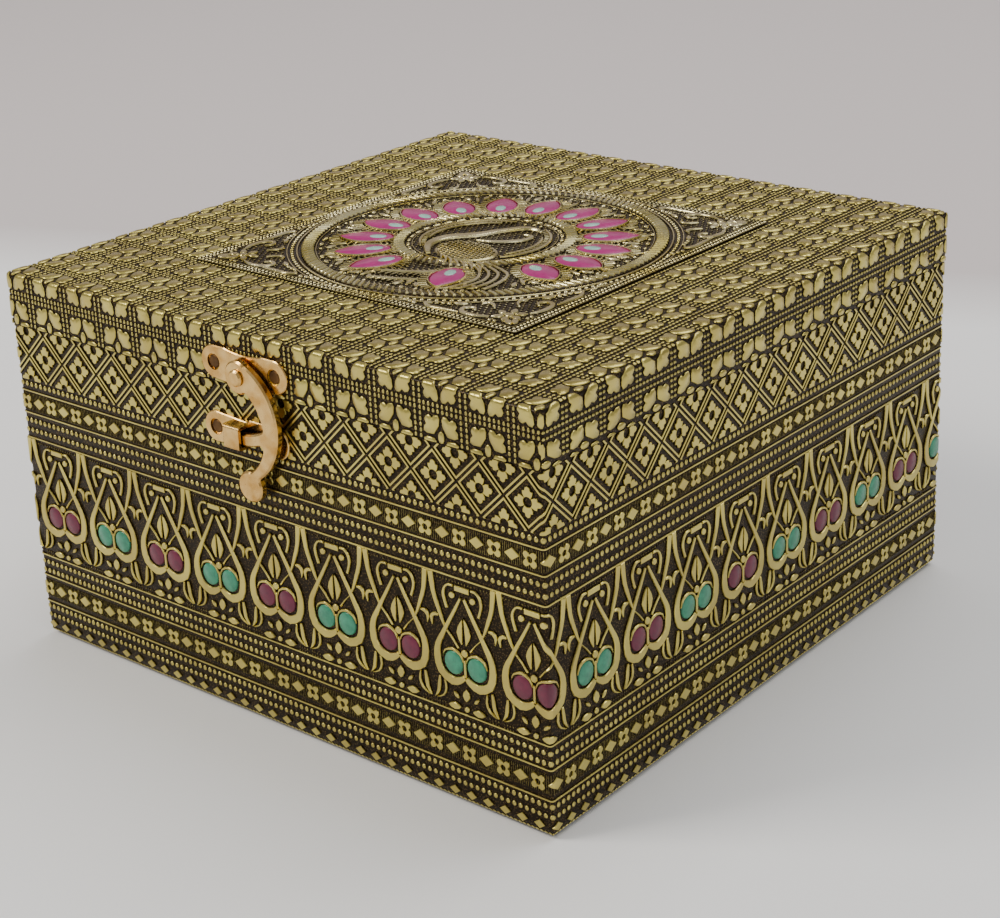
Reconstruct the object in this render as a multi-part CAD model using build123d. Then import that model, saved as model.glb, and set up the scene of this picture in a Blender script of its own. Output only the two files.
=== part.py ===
"""Square dry fruit gift box: fibreboard clad in embossed brass sheet, hinged lid, swing-hook latch.

The origin is the centre of the underside. The latch side faces -Y and the hinges are at +Y.
Every piece is a solid of its own, written to parts/NODE.step. Sizes are in millimetres.
"""
from build123d import *
from math import asin, ceil, cos, degrees, floor, pi, radians, sin
import os

os.makedirs("parts", exist_ok=True)

# Closed box, over its metal sheet
lid_width = 203.0
lid_depth = 203.0
body_height = 103.6
lid_height = 15.6
lid_overhang = 0.5
lid_seam = 0.3

# Boards
wall_thickness = 5.0
base_thickness = 3.0
lid_rail_thickness = 5.0
lid_board_thickness = 3.0
divider_thickness = 3.0
divider_drop = 6.0
divider_fit = 0.1

# Metal sheet, its folds and the felt paper under the base
sheet_thickness = 0.4
body_corner_radius = 1.2
body_bottom_radius = 3.0
lid_corner_radius = 1.5
lid_top_radius = 0.8
sheet_flange = 12.0
sheet_seam_inset = 8.0
base_paper_thickness = 0.4
base_paper_margin = 5.0

# Velvet lining
lining_thickness = 1.0
lining_drop = 2.0
lid_lining_lift = 1.0

# Frieze of teardrops pressed into the sheet round the walls
frieze_pitch = 23.02
frieze_start = -87.5
frieze_middle = 47.8
frieze_height = 0.45
cell_width = 7.2
cell_side = 5.6
cell_drop = 8.0

# Pressed medallion on the lid
medallion_side = 123.0
medallion_corner = 2.0
medallion_border_width = 1.4
medallion_border_height = 0.5
outer_ring_radius = 60.4
outer_ring_width = 2.8
outer_ring_height = 0.5
rope_ring_radius = 55.5
rope_ring_width = 3.5
rope_ring_height = 0.9
ring_facets = 48
field_radius = 51.0
field_height = 0.4
feather_slots = 17
bare_slots = (2, 0)
feather_turn = 88.0
feather_length = 15.0
feather_width = 10.6
feather_height = 0.7
feather_ring_radius = 37.5
eye_ring_radius = 28.0
eye_ring_width = 3.4
eye_ring_height = 0.6

# Butt hinges on the back
hinge_length = 25.0
hinge_leaf_height = 11.0
hinge_leaf_thickness = 0.7
hinge_offset = 55.0
hinge_corner_radius = 1.5
knuckle_radius = 1.7
knuckle_gap = 0.3
knuckle_side_gap = 0.2
knuckle_root = 0.4
hinge_pin_radius = 0.8
hinge_pin_clearance = 0.06
hinge_pin_proud = 0.4
hinge_nail_inset = 5.0

# Nails, and the small chamfer that breaks the edges of the latch
nail_facets = 8
seat_facets = 24
nail_shank_radius = 0.7
nail_clearance = 0.02
nail_bite = 4.0
nail_head_radius = 1.5
nail_head_height = 0.6
nail_head_bevel = 0.3
edge_chamfer = 0.25

# Latch: lid plate, rivet, hook and catch; places are measured from the rivet
rivet_above_rim = 4.3
plate_thickness = 1.2
plate_ear_radius = 4.8
plate_ear_reach = 11.6
plate_ear_rise = 1.6
plate_lobe_radius = 5.1
plate_lobe_rise = 1.0
plate_dip = 0.9
plate_dip_radius = 30.0
plate_blend = 1.5
boss_radius = 4.1
boss_height = 0.6
nail_recess_radius = 2.4
nail_recess_depth = 0.8
latch_nail_head_radius = 2.1
rivet_radius = 1.5
rivet_clearance = 0.05
rivet_head_radius = 2.4
rivet_head_height = 0.9
rivet_head_bevel = 0.5
hook_running_gap = 0.15
hook_thickness = 2.0
hook_eye_radius = 4.8
hook_reach = 14.0
hook_waist_depth = 13.0
hook_arm_width = 5.7
hook_knob_radius = 4.5
hook_knob_side = 1.8
hook_knob_depth = 31.5
hook_blend = 1.0
hook_edge_chamfer = 0.5
tooth_inner_radius = 16.2
tooth_outer_radius = 19.7
tooth_tip_side = 4.6
tooth_root_angle = -56.0
tooth_tip_round = 0.8
catch_ear_radius = 4.6
catch_left_reach = 13.2
catch_right_reach = 10.2
catch_strip = 4.4
hood_side_gap = 0.35
hood_play = 0.5
hood_wall = 0.9
hood_mouth = 0.2
hood_edge_round = 0.8

# Places that follow from the sizes above
body_width = lid_width - 2 * lid_overhang
body_depth = lid_depth - 2 * lid_overhang
core_bottom = base_paper_thickness + sheet_thickness
wall_x = body_width / 2 - sheet_thickness
wall_y = body_depth / 2 - sheet_thickness
inner_x = wall_x - wall_thickness
inner_y = wall_y - wall_thickness
room_x = inner_x - lining_thickness
room_y = inner_y - lining_thickness
floor_top = core_bottom + base_thickness
room_bottom = floor_top + lining_thickness
divider_top = body_height - divider_drop
rim = body_height + lid_seam
lid_top = rim + lid_height
lid_core_x = lid_width / 2 - sheet_thickness
lid_core_y = lid_depth / 2 - sheet_thickness
lid_core_top = lid_top - sheet_thickness
board_bottom = lid_core_top - lid_board_thickness
lid_inner_x = lid_core_x - lid_rail_thickness
lid_inner_y = lid_core_y - lid_rail_thickness
lid_front = -lid_depth / 2
body_front = -body_depth / 2
lid_back = lid_depth / 2
body_back = body_depth / 2
hinge_y = lid_back + knuckle_gap + knuckle_radius
hinge_z = body_height + lid_seam / 2
knuckle_length = (hinge_length - 2 * knuckle_side_gap) / 3
leaf_start = knuckle_radius + knuckle_root
hinge_nail_reach = hinge_length / 2 - hinge_nail_inset
rivet_z = rim + rivet_above_rim
hook_back = lid_front - plate_thickness - boss_height - hook_running_gap
hook_front = hook_back - hook_thickness
tooth_middle_radius = (tooth_inner_radius + tooth_outer_radius) / 2
tooth_tip_angle = -90.0 - degrees(asin(tooth_tip_side / tooth_middle_radius))
catch_depth = -tooth_middle_radius
hood_low = -tooth_outer_radius - hood_play - hood_wall
hood_high = -tooth_inner_radius * cos(radians(tooth_tip_angle + 90)) + hood_play + hood_wall
hood_left = -tooth_outer_radius * sin(radians(-90 - tooth_tip_angle)) - hood_side_gap - hood_wall
hood_front = hook_front - hood_side_gap - hood_wall
hinge_places = {"left": -hinge_offset, "right": hinge_offset}
latch_lid_nails_at = [(side * plate_ear_reach, rivet_z + plate_ear_rise) for side in (-1, 1)]
latch_body_nails_at = [(x, rivet_z + catch_depth) for x in (-catch_left_reach, catch_right_reach)]
hinge_nail_sides = [
    place + side * hinge_nail_reach for place in hinge_places.values() for side in (-1, 1)
]
hinge_body_nails_at = [(x, hinge_z - (leaf_start + hinge_leaf_height) / 2) for x in hinge_nail_sides]
hinge_lid_nails_at = [(x, hinge_z + (leaf_start + hinge_leaf_height) / 2) for x in hinge_nail_sides]


def board(x_span, y_span, z_span):
    """A square-edged board between low and high values on each axis."""
    spans = (x_span, y_span, z_span)
    size = [high - low for low, high in spans]
    middle = [(high + low) / 2 for low, high in spans]
    return Pos(*middle) * Box(*size)


def rounded_block(half_x, half_y, z_span, corner, edge, edge_side):
    """A block with rounded upright corners and a rounded rim at its bottom (0) or top (-1).

    The roundings of the rim meet in a mitre, as folded sheet does.
    """
    block = board((-half_x, half_x), (-half_y, half_y), z_span)
    rimmed = fillet(block.faces().sort_by(Axis.Z)[edge_side].edges(), edge)
    return fillet(block.edges().filter_by(Axis.Z), corner) & rimmed


def rod(radius, x, z, y_span):
    """A round bar along Y."""
    low, high = y_span
    return Pos(x, (low + high) / 2, z) * Rot(90, 0, 0) * Cylinder(radius, high - low)


def flat_sided_bar(radius, facets, x, z, y_span):
    """A nearly round bar along Y, for the nails, the holes and seats that take them, and the rivet."""
    low, high = y_span
    plane = Plane(origin=(x, high, z), x_dir=(1, 0, 0), z_dir=(0, -1, 0))
    return extrude(plane * RegularPolygon(radius, facets), high - low)


def drilled(solid, places, y_span):
    """The solid with a pilot hole for a nail at each (x, z) place."""
    for x, z in places:
        solid -= flat_sided_bar(nail_shank_radius + nail_clearance, nail_facets, x, z, y_span)
    return solid


def upright(outline, y_low, y_high):
    """A flat outline drawn in (x, z) round the rivet, raised along Y between two planes."""
    plane = Plane(origin=(0, y_high, rivet_z), x_dir=(1, 0, 0), z_dir=(0, -1, 0))
    return extrude(plane * outline, y_high - y_low)


def body_core():
    """The outside of the body's boards, which the sheet is wrapped round."""
    return rounded_block(
        wall_x, wall_y, (core_bottom, body_height),
        body_corner_radius - sheet_thickness, body_bottom_radius - sheet_thickness, 0,
    )


def lid_core():
    """The outside of the lid's boards, under its sheet."""
    return rounded_block(
        lid_core_x, lid_core_y, (rim, lid_core_top),
        lid_corner_radius - sheet_thickness, lid_top_radius - sheet_thickness, -1,
    )


def body_boards():
    """Four walls butted round a base panel: front and back run the full width."""
    core = body_core()
    upright_span = (core_bottom, body_height)
    full_x = (-wall_x, wall_x)
    side_y = (-inner_y, inner_y)
    front = core & board(full_x, (-wall_y, -inner_y), upright_span)
    back = core & board(full_x, (inner_y, wall_y), upright_span)
    front = drilled(front, latch_body_nails_at, (body_front, body_front + nail_bite))
    back = drilled(back, hinge_body_nails_at, (body_back - nail_bite, body_back))
    return {
        "front_wall": front,
        "back_wall": back,
        "left_wall": core & board((-wall_x, -inner_x), side_y, upright_span),
        "right_wall": core & board((inner_x, wall_x), side_y, upright_span),
        "base_panel": board((-inner_x, inner_x), side_y, (core_bottom, floor_top)),
    }


def strand(points):
    """Outline of a band that tapers along its middle line. Each point is x, y and half width."""
    left, right = [], []
    for i, (x, y, half) in enumerate(points):
        before = points[max(i - 1, 0)]
        after = points[min(i + 1, len(points) - 1)]
        along = Vector(after[0] - before[0], after[1] - before[1]).normalized()
        left.append((x - along.Y * half, y + along.X * half))
        right.append((x + along.Y * half, y - along.X * half))
    return make_face(Polyline(*left, *reversed(right), close=True))


def teardrop():
    """One motif of the frieze: two limbs from a point, each swelling into an enamel cell."""
    limb = strand([
        (0.5, 14.0, 0.45), (6.6, 3.2, 0.65), (9.3, -4.4, 1.1),
        (cell_side, -cell_drop, cell_width / 2), (0.6, -6.5, 1.6),
    ])
    return limb + mirror(limb, about=Plane.YZ)


def frieze():
    """The teardrops all round the walls, up to the sheet's seam at the back."""
    quarter = (body_width + body_depth) / 2 - 2 * body_corner_radius + body_corner_radius * pi / 2
    last = 2 * quarter + body_width / 2 - body_corner_radius - sheet_seam_inset
    first = last - 4 * quarter
    motif = teardrop()
    walls = []
    for turn in range(-2, 3):
        wall, out = (body_width, body_depth) if turn % 2 == 0 else (body_depth, body_width)
        middle = turn * quarter
        low = max(body_corner_radius - wall / 2, first - middle)
        high = min(wall / 2 - body_corner_radius, last - middle)
        first_motif = ceil((middle + low - frieze_start) / frieze_pitch - 0.5)
        last_motif = floor((middle + high - frieze_start) / frieze_pitch + 0.5)
        places = [frieze_start + i * frieze_pitch - middle for i in range(first_motif, last_motif + 1)]
        row = Sketch() + [Pos(x, 0) * motif for x in places]
        row &= Pos((low + high) / 2, 0) * Rectangle(high - low, 2 * body_height)
        plane = Plane(origin=(0, -out / 2, frieze_middle), x_dir=(1, 0, 0), z_dir=(0, -1, 0))
        walls.append(Rot(0, 0, 90 * turn) * extrude(plane * row, frieze_height))
    return walls


def body_sheet():
    """Embossed sheet round the four walls, folded under the base as a flange."""
    outside = rounded_block(
        body_width / 2, body_depth / 2, (base_paper_thickness, body_height),
        body_corner_radius, body_bottom_radius, 0,
    )
    reach_x = body_width / 2 - sheet_flange
    reach_y = body_depth / 2 - sheet_flange
    window = board((-reach_x, reach_x), (-reach_y, reach_y), (0, core_bottom))
    sheet = outside - body_core() - window
    sheet = drilled(sheet, latch_body_nails_at, (body_front - 1, body_front + 1))
    return drilled(sheet, hinge_body_nails_at, (body_back - 1, body_back + 1)) + frieze()


def base_paper():
    """Felt paper over the flange, pressed up against the base panel inside it."""
    edge_x = body_width / 2 - base_paper_margin
    edge_y = body_depth / 2 - base_paper_margin
    reach_x = body_width / 2 - sheet_flange
    reach_y = body_depth / 2 - sheet_flange
    flat = board((-edge_x, edge_x), (-edge_y, edge_y), (0, base_paper_thickness))
    return flat + board((-reach_x, reach_x), (-reach_y, reach_y), (0, core_bottom))


def linings():
    """Velvet-covered cards glued to the floor and to the four walls."""
    height = (floor_top, body_height - lining_drop)
    return {
        "floor_lining": board((-room_x, room_x), (-room_y, room_y), (floor_top, room_bottom)),
        "front_lining": board((-inner_x, inner_x), (-inner_y, -room_y), height),
        "back_lining": board((-inner_x, inner_x), (room_y, inner_y), height),
        "left_lining": board((-inner_x, -room_x), (-room_y, room_y), height),
        "right_lining": board((room_x, inner_x), (-room_y, room_y), height),
    }


def dividers():
    """Two slats, half-lapped at the middle, that part the box into four."""
    half = divider_thickness / 2
    middle = (room_bottom + divider_top) / 2
    notch = half + divider_fit
    long_slat = board((-room_x, room_x), (-half, half), (room_bottom, divider_top))
    long_slat -= board((-notch, notch), (-half, half), (middle, divider_top))
    cross_slat = board((-half, half), (-room_y, room_y), (room_bottom, divider_top))
    cross_slat -= board((-half, half), (-notch, notch), (room_bottom, middle))
    return {"long_divider": long_slat, "cross_divider": cross_slat}


def lid_boards():
    """A shallow frame of four rails under the lid's top board."""
    core = lid_core()
    rail_z = (rim, board_bottom)
    full_x = (-lid_core_x, lid_core_x)
    side_y = (-lid_inner_y, lid_inner_y)
    front = core & board(full_x, (-lid_core_y, -lid_inner_y), rail_z)
    back = core & board(full_x, (lid_inner_y, lid_core_y), rail_z)
    front = drilled(front, latch_lid_nails_at, (lid_front, lid_front + nail_bite))
    back = drilled(back, hinge_lid_nails_at, (lid_back - nail_bite, lid_back))
    full_y = (-lid_core_y, lid_core_y)
    return {
        "lid_front_rail": front,
        "lid_back_rail": back,
        "lid_left_rail": core & board((-lid_core_x, -lid_inner_x), side_y, rail_z),
        "lid_right_rail": core & board((lid_inner_x, lid_core_x), side_y, rail_z),
        "lid_top_board": core & board(full_x, full_y, (board_bottom, lid_core_top)),
    }


def lid_sheet():
    """Embossed sheet over the top board, folded down round the rails."""
    outside = rounded_block(
        lid_width / 2, lid_depth / 2, (rim, lid_top), lid_corner_radius, lid_top_radius, -1,
    )
    sheet = outside - lid_core()
    sheet = drilled(sheet, latch_lid_nails_at, (lid_front - 1, lid_front + 1))
    return drilled(sheet, hinge_lid_nails_at, (lid_back - 1, lid_back + 1))


def lid_linings():
    """A velvet panel under the top board, and strips down the insides of the rails."""
    low = board_bottom - lining_thickness
    strip_z = (rim + lid_lining_lift, low)
    strip_x = lid_inner_x - lining_thickness
    strip_y = lid_inner_y - lining_thickness
    panel = board(
        (-lid_inner_x, lid_inner_x), (-lid_inner_y, lid_inner_y), (low, board_bottom)
    )
    strips = [
        board((-lid_inner_x, lid_inner_x), (-lid_inner_y, -strip_y), strip_z),
        board((-lid_inner_x, lid_inner_x), (strip_y, lid_inner_y), strip_z),
        board((-lid_inner_x, -strip_x), (-strip_y, strip_y), strip_z),
        board((strip_x, lid_inner_x), (-strip_y, strip_y), strip_z),
    ]
    return {"lid_lining": panel, "lid_rim_linings": Compound(children=strips)}


def raised_ring(outer, width, foot, height):
    """A ring pressed up on the medallion. A width as large as its radius makes it a disc."""
    outline = RegularPolygon(outer, ring_facets)
    if width < outer:
        outline -= RegularPolygon(outer - width, ring_facets)
    return extrude(Pos(0, 0, foot) * outline, height)


def feather(angle, foot):
    """One pointed oval of the medallion's ring of feathers."""
    half_length = feather_length / 2
    half_width = feather_width / 2
    side = [
        (-0.7 * half_length, 0.66 * half_width), (-0.1 * half_length, half_width),
        (0.6 * half_length, 0.62 * half_width),
    ]
    other_side = [(x, -y) for x, y in reversed(side)]
    outline = Polyline((-half_length, 0), *side, (half_length, 0), *other_side, close=True)
    pad = extrude(make_face(outline), feather_height)
    return Rot(0, 0, angle) * Pos(feather_ring_radius, 0, foot) * pad


def medallion():
    """Pressed plate on the lid: square border, outer and rope rings, and feathers round an eye."""
    half = medallion_side / 2
    inside = half - medallion_border_width
    top = lid_top + sheet_thickness
    field_top = top + field_height
    border_top = top + medallion_border_height
    plate = board((-half, half), (-half, half), (lid_top, top))
    border = board((-half, half), (-half, half), (top, border_top))
    border -= board((-inside, inside), (-inside, inside), (top, border_top))
    plate = fillet((plate + border).edges().filter_by(Axis.Z).group_by(SortBy.DISTANCE)[-1],
                   medallion_corner)
    plate += raised_ring(outer_ring_radius, outer_ring_width, top, outer_ring_height)
    plate += raised_ring(rope_ring_radius, rope_ring_width, top, rope_ring_height)
    plate += raised_ring(field_radius, field_radius, top, field_height)
    plate += raised_ring(eye_ring_radius, eye_ring_width, field_top, eye_ring_height)
    for slot in range(feather_slots):
        if slot not in bare_slots:
            turn = (slot - feather_slots // 2) * 360 / feather_slots
            plate += feather(feather_turn + turn, field_top)
    return plate


def hinge_leaf(place, face_y, up, own_thirds):
    """One leaf of a butt hinge: a plate on the back, rolled round the pin at its own knuckles.

    up is 1 for the lid's leaf and -1 for the body's; own_thirds are its knuckles, 0 to 2.
    """
    left = place - hinge_length / 2
    plate = Pos(place, face_y + hinge_leaf_thickness / 2, hinge_z) * board(
        (-hinge_length / 2, hinge_length / 2),
        (-hinge_leaf_thickness / 2, hinge_leaf_thickness / 2),
        tuple(sorted((up * leaf_start, up * hinge_leaf_height))),
    )
    far_edges = plate.edges().filter_by(Axis.Y).group_by(Axis.Z)[-1 if up > 0 else 0]
    leaf = fillet(far_edges, hinge_corner_radius)
    roll = make_face(Polyline(
        (0, face_y, hinge_z + up * leaf_start),
        (0, face_y + hinge_leaf_thickness, hinge_z + up * leaf_start),
        (0, hinge_y, hinge_z + up * knuckle_radius),
        (0, hinge_y, hinge_z),
        (0, hinge_y - knuckle_radius, hinge_z),
        close=True,
    ))
    for third in own_thirds:
        start = left + third * (knuckle_length + knuckle_side_gap)
        barrel = Pos(start + knuckle_length / 2, hinge_y, hinge_z) * Rot(0, 90, 0) * Cylinder(
            knuckle_radius, knuckle_length
        )
        leaf += barrel + extrude(Pos(start, 0, 0) * roll, knuckle_length, dir=(1, 0, 0))
    bore = Pos(place, hinge_y, hinge_z) * Rot(0, 90, 0) * Cylinder(
        hinge_pin_radius + hinge_pin_clearance, hinge_length
    )
    nails = hinge_lid_nails_at if up > 0 else hinge_body_nails_at
    return drilled(leaf - bore, nails, (face_y - 1, face_y + hinge_leaf_thickness + 1))


def hinge_pin(place):
    """A straight pin that stands a little proud of the knuckles at both ends."""
    length = hinge_length + 2 * hinge_pin_proud
    return Pos(place, hinge_y, hinge_z) * Rot(0, 90, 0) * Cylinder(hinge_pin_radius, length)


def nail(x, z, seat_y, out, head_radius, shank_end):
    """A round-headed nail along Y; out is +1 where its head faces +Y and -1 where it faces -Y."""
    head_span = tuple(sorted((seat_y, seat_y + out * nail_head_height)))
    shank_span = tuple(sorted((seat_y, shank_end)))
    head = flat_sided_bar(head_radius, nail_facets, x, z, head_span)
    crown = head.edges().group_by(Axis.Y)[-1 if out > 0 else 0]
    shank = flat_sided_bar(nail_shank_radius, nail_facets, x, z, shank_span)
    return chamfer(crown, nail_head_bevel) + shank


def nail_set(places, seat_y, out, head_radius, face_y):
    """All nails of one plate or pair of leaves, as separate solids."""
    shank_end = face_y - out * nail_bite
    nails = [nail(x, z, seat_y, out, head_radius, shank_end) for x, z in places]
    return Compound(children=nails)


def softened(outline, radius):
    """The outline with its inner corners blended by the radius."""
    return offset(offset(outline, radius), -radius)


def plate_with_recesses(plate, places, face_y):
    """The plate with a pilot hole and a sunk seat for each nail head."""
    front = face_y - plate_thickness
    for x, z in places:
        seat = (front, front + nail_recess_depth)
        plate -= flat_sided_bar(nail_recess_radius, seat_facets, x, z, seat)
    return drilled(plate, places, (front, face_y))


def latch_lid_plate():
    """Plate on the lid with an ear at each side, and a raised boss for the hook's rivet."""
    ears = [Pos(side * plate_ear_reach, plate_ear_rise) * Circle(plate_ear_radius)
            for side in (-1, 1)]
    lobe = Pos(0, plate_lobe_rise) * Circle(plate_lobe_radius)
    dip_middle = plate_ear_rise + plate_ear_radius - plate_dip + plate_dip_radius
    outline = make_hull((ears[0] + ears[1] + lobe).edges())
    outline -= Pos(0, dip_middle) * Circle(plate_dip_radius)
    front = lid_front - plate_thickness
    plate = upright(outline, front, lid_front)
    plate = chamfer(plate.faces().sort_by(Axis.Y)[0].edges(), edge_chamfer)
    boss = flat_sided_bar(boss_radius, seat_facets, 0, rivet_z, (front - boss_height, front))
    plate += chamfer(boss.faces().sort_by(Axis.Y)[0].edges(), edge_chamfer)
    plate -= rod(rivet_radius + nail_clearance, 0, rivet_z, (front - boss_height, lid_front))
    return plate_with_recesses(plate, latch_lid_nails_at, lid_front)


def latch_rivet():
    """Rivet that holds the hook against the boss and lets it swing."""
    seat = hook_front - hook_running_gap
    head_span = (seat - rivet_head_height, seat)
    head = flat_sided_bar(rivet_head_radius, seat_facets, 0, rivet_z, head_span)
    head = chamfer(head.edges().group_by(Axis.Y)[0], rivet_head_bevel)
    return head + rod(rivet_radius, 0, rivet_z, (seat, lid_front))


def crescent():
    """The hook's arm between two arcs, widest at its waist and narrow at both ends."""
    knob = (hook_knob_side, -hook_knob_depth)
    outer = ThreePointArc(
        (0, hook_eye_radius), (hook_reach, -hook_waist_depth),
        (knob[0] + 0.75 * hook_knob_radius, knob[1] + 0.6 * hook_knob_radius),
    )
    inner = ThreePointArc(
        (knob[0], knob[1] + 0.9 * hook_knob_radius),
        (hook_reach - hook_arm_width, -hook_waist_depth),
        (0.5 * hook_eye_radius, -0.8 * hook_eye_radius),
    )
    return make_face([outer, Line(outer @ 1, inner @ 0), inner, Line(inner @ 1, outer @ 0)])


def tooth():
    """The tooth that slides under the catch's hood, on arcs round the rivet."""
    def at(radius, angle):
        return (radius * cos(radians(angle)), radius * sin(radians(angle)))

    middle = (tooth_root_angle + tooth_tip_angle) / 2
    low_edge = ThreePointArc(
        at(tooth_outer_radius, tooth_root_angle), at(tooth_outer_radius, middle),
        at(tooth_outer_radius, tooth_tip_angle),
    )
    high_edge = ThreePointArc(
        at(tooth_inner_radius, tooth_tip_angle), at(tooth_inner_radius, middle),
        at(tooth_inner_radius, tooth_root_angle),
    )
    face = make_face([
        low_edge, Line(low_edge @ 1, high_edge @ 0), high_edge, Line(high_edge @ 1, low_edge @ 0)
    ])
    return fillet(face.vertices().sort_by(Axis.X)[:2], tooth_tip_round)


def latch_hook():
    """Swing hook: eye, crescent arm, inward tooth and a round thumb knob."""
    knob = Pos(hook_knob_side, -hook_knob_depth) * Circle(hook_knob_radius)
    outline = Circle(hook_eye_radius) + crescent() + knob + tooth()
    inner_corners = [corner for corner in outline.vertices() if corner.X > 0 > corner.Y]
    hook = upright(fillet(inner_corners, hook_blend), hook_front, hook_back)
    hook = chamfer(hook.faces().sort_by(Axis.Y)[0].edges(), hook_edge_chamfer)
    return hook - rod(rivet_radius + rivet_clearance, 0, rivet_z, (hook_front, hook_back))


def latch_catch():
    """Catch plate on the body with a hood, open on the right, that the tooth slides under."""
    ears = [Pos(x, catch_depth) * Circle(catch_ear_radius)
            for x in (-catch_left_reach, catch_right_reach)]
    seat_width = hood_mouth - hood_left
    seat = Pos(hood_mouth - seat_width / 2, (hood_low + hood_high) / 2) * Rectangle(
        seat_width, hood_high - hood_low
    )
    strip = Pos(catch_right_reach / 2, catch_depth + catch_ear_radius - catch_strip / 2) * Rectangle(
        catch_right_reach, catch_strip
    )
    outline = softened(make_hull((ears[0] + seat).edges()) + ears[1] + strip, plate_blend)
    plate = upright(outline, body_front - plate_thickness, body_front)
    plate = chamfer(plate.faces().sort_by(Axis.Y)[0].edges(), edge_chamfer)
    low, high = rivet_z + hood_low, rivet_z + hood_high
    front = body_front - plate_thickness
    hood = board((hood_left, hood_mouth), (hood_front, front), (low, high))
    outer_edges = hood.faces().sort_by(Axis.Y)[0].edges() - hood.faces().sort_by(Axis.X)[-1].edges()
    hood = fillet(outer_edges, hood_edge_round)
    hood -= board(
        (hood_left + hood_wall, hood_mouth), (hood_front + hood_wall, front),
        (low + hood_wall, high - hood_wall),
    )
    return plate_with_recesses(plate, latch_body_nails_at, body_front) + hood


def latch_nails(places, face_y):
    """The two sunk nails of a latch plate."""
    seat = face_y - plate_thickness + nail_recess_depth
    return nail_set(places, seat, -1, latch_nail_head_radius, face_y)


def hinge_nails(places, face_y):
    """The nails through one row of hinge leaves."""
    return nail_set(places, face_y + hinge_leaf_thickness, 1, nail_head_radius, face_y)


def hinges():
    """Two butt hinges: body leaves with the outer knuckles, lid leaves with the middle one."""
    pieces = {}
    for side, place in hinge_places.items():
        pieces[f"hinge_body_leaf_{side}"] = hinge_leaf(place, body_back, -1, (0, 2))
        pieces[f"hinge_lid_leaf_{side}"] = hinge_leaf(place, lid_back, 1, (1,))
        pieces[f"hinge_pin_{side}"] = hinge_pin(place)
    pieces["hinge_body_nails"] = hinge_nails(hinge_body_nails_at, body_back)
    pieces["hinge_lid_nails"] = hinge_nails(hinge_lid_nails_at, lid_back)
    return pieces


def latch():
    """Lid plate, rivet, hook, catch and their nails."""
    return {
        "latch_lid_plate": latch_lid_plate(),
        "latch_lid_nails": latch_nails(latch_lid_nails_at, lid_front),
        "latch_rivet": latch_rivet(),
        "latch_hook": latch_hook(),
        "latch_catch": latch_catch(),
        "latch_catch_nails": latch_nails(latch_body_nails_at, body_front),
    }


pieces = {
    **body_boards(),
    "body_sheet": body_sheet(),
    "base_paper": base_paper(),
    **linings(),
    **dividers(),
    **lid_boards(),
    "lid_sheet": lid_sheet(),
    **lid_linings(),
    "lid_medallion": medallion(),
    **hinges(),
    **latch(),
}

for name, piece in pieces.items():
    export_step(piece, f"parts/{name}.step")
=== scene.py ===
"""Dresses the dry fruit gift box: embossed brass sheet over a board box, an enamelled
medallion on the lid, velvet inside, and a cast swing-hook latch.

The patterns are drawn flat in millimetres, as on an embossing roller. A flat pattern is then
laid round the walls or folded over the lid, and that puts it in metres at its place."""

import math
from contextlib import contextmanager

import bpy
import numpy as np
from mathutils import Matrix, Vector


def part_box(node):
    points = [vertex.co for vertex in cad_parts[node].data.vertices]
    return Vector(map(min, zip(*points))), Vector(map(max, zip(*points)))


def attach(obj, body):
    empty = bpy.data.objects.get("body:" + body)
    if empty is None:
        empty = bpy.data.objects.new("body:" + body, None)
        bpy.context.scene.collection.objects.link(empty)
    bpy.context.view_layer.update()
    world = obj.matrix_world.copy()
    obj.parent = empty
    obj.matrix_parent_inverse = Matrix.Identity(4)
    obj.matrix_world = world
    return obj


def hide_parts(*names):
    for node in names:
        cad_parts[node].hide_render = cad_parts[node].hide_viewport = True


bl_info = {
    "name": "Dry fruit gift box",
    "version": (1, 0, 0),
    "blender": (4, 5, 0),
    "location": "View3D > Sidebar > Gift box",
    "description": "Embossed sheet, enamel, latch and velvet of a dry fruit gift box",
    "category": "Object",
}

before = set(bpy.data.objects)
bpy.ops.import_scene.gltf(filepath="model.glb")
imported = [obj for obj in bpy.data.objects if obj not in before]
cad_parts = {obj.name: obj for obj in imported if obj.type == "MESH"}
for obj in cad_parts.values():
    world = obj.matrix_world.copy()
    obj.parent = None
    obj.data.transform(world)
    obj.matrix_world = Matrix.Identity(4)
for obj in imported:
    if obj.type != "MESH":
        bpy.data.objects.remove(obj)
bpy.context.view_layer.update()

MM = 0.001

# The box as the frame has it, in millimetres
wall_low, wall_high = (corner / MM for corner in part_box("back_wall"))
lid_low, lid_high = (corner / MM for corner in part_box("lid_sheet"))
SHEET = 0.4
BODY_HALF = wall_high.x + SHEET
BODY_TOP = wall_high.z
BODY_FOOT = wall_low.z - SHEET
BODY_CORNER = 0.7
FOOT_BEND = 3.0
FLANGE = 12.0
LID_HALF = lid_high.x
LID_RIM = lid_low.z
LID_TOP = lid_high.z
LID_CORNER = 1.5
LID_EDGE = 0.8
CARD_EDGE = 0.35
RIM_CARD = 1.0
SLAT = 3.0
SLAT_EDGE = 0.9
SLAT_PLAY = 0.05

# Relief, in millimetres: how deep a shape is rooted in the sheet, from where up to where it is
# rubbed brighter, and from which height its top is rounded over
ROOT = 0.12
RUBBED = (0.0, 0.24)
LITTLE_RUBBED = (0.0, 0.6)
PEARL_RUBBED = (0.0, 0.44)
RIB_RUBBED = (0.0, 0.34)
ROUND_OVER_FROM = 0.45

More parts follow.
